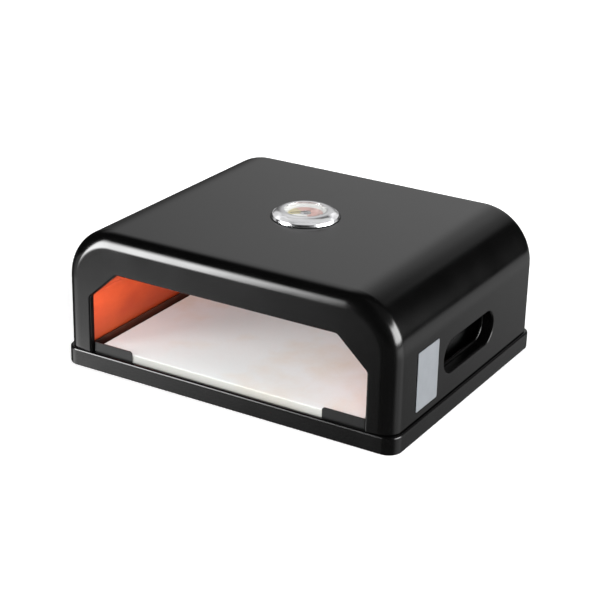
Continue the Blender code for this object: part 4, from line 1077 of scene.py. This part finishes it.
GROUND_PATCHES = {
    "near on the right": (
        (AZIMUTH, 8, 20, *ALL), (AZIMUTH, 27, 22, 1, 1.25), (AZIMUTH, 118, 100, *ALL),
        (ELEVATION, -29, -14, 0.15, 0.56),
    ),
    "pool on the right": ((AZIMUTH, 38, 70, *ALL), (AZIMUTH, 108, 86, *ALL), (ELEVATION, -34, -6, 0.3, 1.55)),
    "low pool on the right": ((AZIMUTH, 26, 50, 0, 0.3), (AZIMUTH, 75, 50, *ALL), (ELEVATION, -17, -23, *ALL)),
    "pool in front": (
        (AZIMUTH, -154.5, -147.5, *ALL), (AZIMUTH, -90, -110, *ALL), (ELEVATION, -27.6, -25.6, 0.22, 0.6),
    ),
    "pool on the left": (*LEFT_POOL, (ELEVATION, -22, -23.2, 0, 0.95)),
    "low pool on the left": (*LEFT_POOL, (ELEVATION, -23, -25.5, 0, 1.35)),
}
GROUND_GLOW = 0.07
GROUND_EDGE = (-5, -9)
SOFTBOXES = {
    "left softbox": (
        (BOWED, -153, -148, *ALL), (AZIMUTH, -124, -131, *ALL), (ELEVATION, 33, 10, *ALL),
        (ELEVATION, -19.5, -8.5, 0, 25),
    ),
    "right softbox": (
        (AZIMUTH, 44, 62, *ALL), (AZIMUTH, 112, 93, *ALL), (ELEVATION, 32, 24, *ALL), (ELEVATION, -1, 3, 0, 16.5),
    ),
}


def make_world():
    """Studio round the oven, worked out from the tables above. Above the floor's edge it is dark but for soft
    glows and two softboxes. Below it the coat mirrors a floor that is bright near the softboxes."""
    world = bpy.data.worlds.new("studio")
    world.use_nodes = True
    world.node_tree.nodes.clear()
    add = functools.partial(add_node, world.node_tree)
    seen = add("TexCoord", out="Generated")
    x, y, z = add("SeparateXYZ", [seen]).node.outputs
    soft = {"interpolation_type": "SMOOTHSTEP"}
    azimuth = add("Math", (x, y), operation="ARCTAN2")
    azimuth = add("Math", [azimuth], operation="DEGREES")
    elevation = add("Math", [z], operation="ARCSINE")
    elevation = add("Math", [elevation], operation="DEGREES")
    height = add("Math", (elevation, BOW_MIDDLE), operation="SUBTRACT")
    bowed = add("Math", (joined(add, "MULTIPLY", height, height), -BOW, azimuth), operation="MULTIPLY_ADD")
    axes = (azimuth, elevation, bowed)

    def brightness(patches):
        """Brightness of several patches together."""
        shapes = []
        for patch in patches.values():
            steps = (add("MapRange", (axes[axis], *edge), **soft) for axis, *edge in patch)
            shapes.append(joined(add, "MULTIPLY", *steps))
        return joined(add, "ADD", *shapes)

    def glow(middle_azimuth, middle_elevation, radius, brightest):
        """Soft round glow about one direction."""
        middle = direction(middle_azimuth, middle_elevation)
        cosine = add("VectorMath", (seen, middle), "Value", operation="DOT_PRODUCT")
        angle = add("Math", [cosine], operation="ARCCOSINE")
        return add("MapRange", (angle, math.radians(radius), 0.0, 0.0, brightest), **soft)

    sky = joined(add, "ADD", brightness(SKY_PATCHES), *(glow(*row) for row in SKY_GLOWS))
    ground = joined(add, "ADD", brightness(GROUND_PATCHES), GROUND_GLOW)
    below = add("MapRange", (elevation, *GROUND_EDGE, *ALL), **soft)
    above = add("MapRange", (elevation, *GROUND_EDGE[::-1], *ALL), **soft)
    sky, ground = joined(add, "MULTIPLY", sky, above), joined(add, "MULTIPLY", ground, below)
    lit = joined(add, "ADD", sky, ground, brightness(SOFTBOXES))
    add("OutputWorld", {"Surface": add("Background", {"Strength": lit})})
    bpy.context.scene.world = world


FLOOR_HALF = 60.0
FLOOR_DROP = 0.02 * MM
# The paper's glow, from one distance to another and from one strength to another
PAPER_GLOW = (0.4, 1.3, 0.4, 1.0)


def white_paper():
    """White studio paper with a faint tooth. Away from the oven it glows, so it stays white to the horizon."""
    made, add, place = new_material("white_studio_paper")
    tooth = patches_of(add, place, 1 * MM)
    away = add("VectorMath", [place], "Value", operation="LENGTH")
    inputs = {
        "Base Color": add("Mix", (tooth, "#F2F2F2", "#F6F6F6")),
        "Roughness": 0.8,
        "Emission Color": "#FFFFFF",
        "Emission Strength": add("MapRange", (away, *PAPER_GLOW)),
    }
    return finish(made, add, inputs, tooth, 0.05 * MM)


def make_floor():
    """Flat floor. Gloss doesn't see it: the coat mirrors the floor that the studio has below its horizon."""
    half, z = FLOOR_HALF, -FLOOR_DROP
    mesh = bpy.data.meshes.new("floor")
    mesh.from_pydata([(-half, -half, z), (half, -half, z), (half, half, z), (-half, half, z)], [], [(0, 1, 2, 3)])
    floor = put("floor", mesh)
    mesh.materials.append(white_paper())
    floor.visible_glossy = False


make_camera()
make_world()
make_floor()
make_lights()
bpy.context.scene.view_settings.view_transform = "Standard"
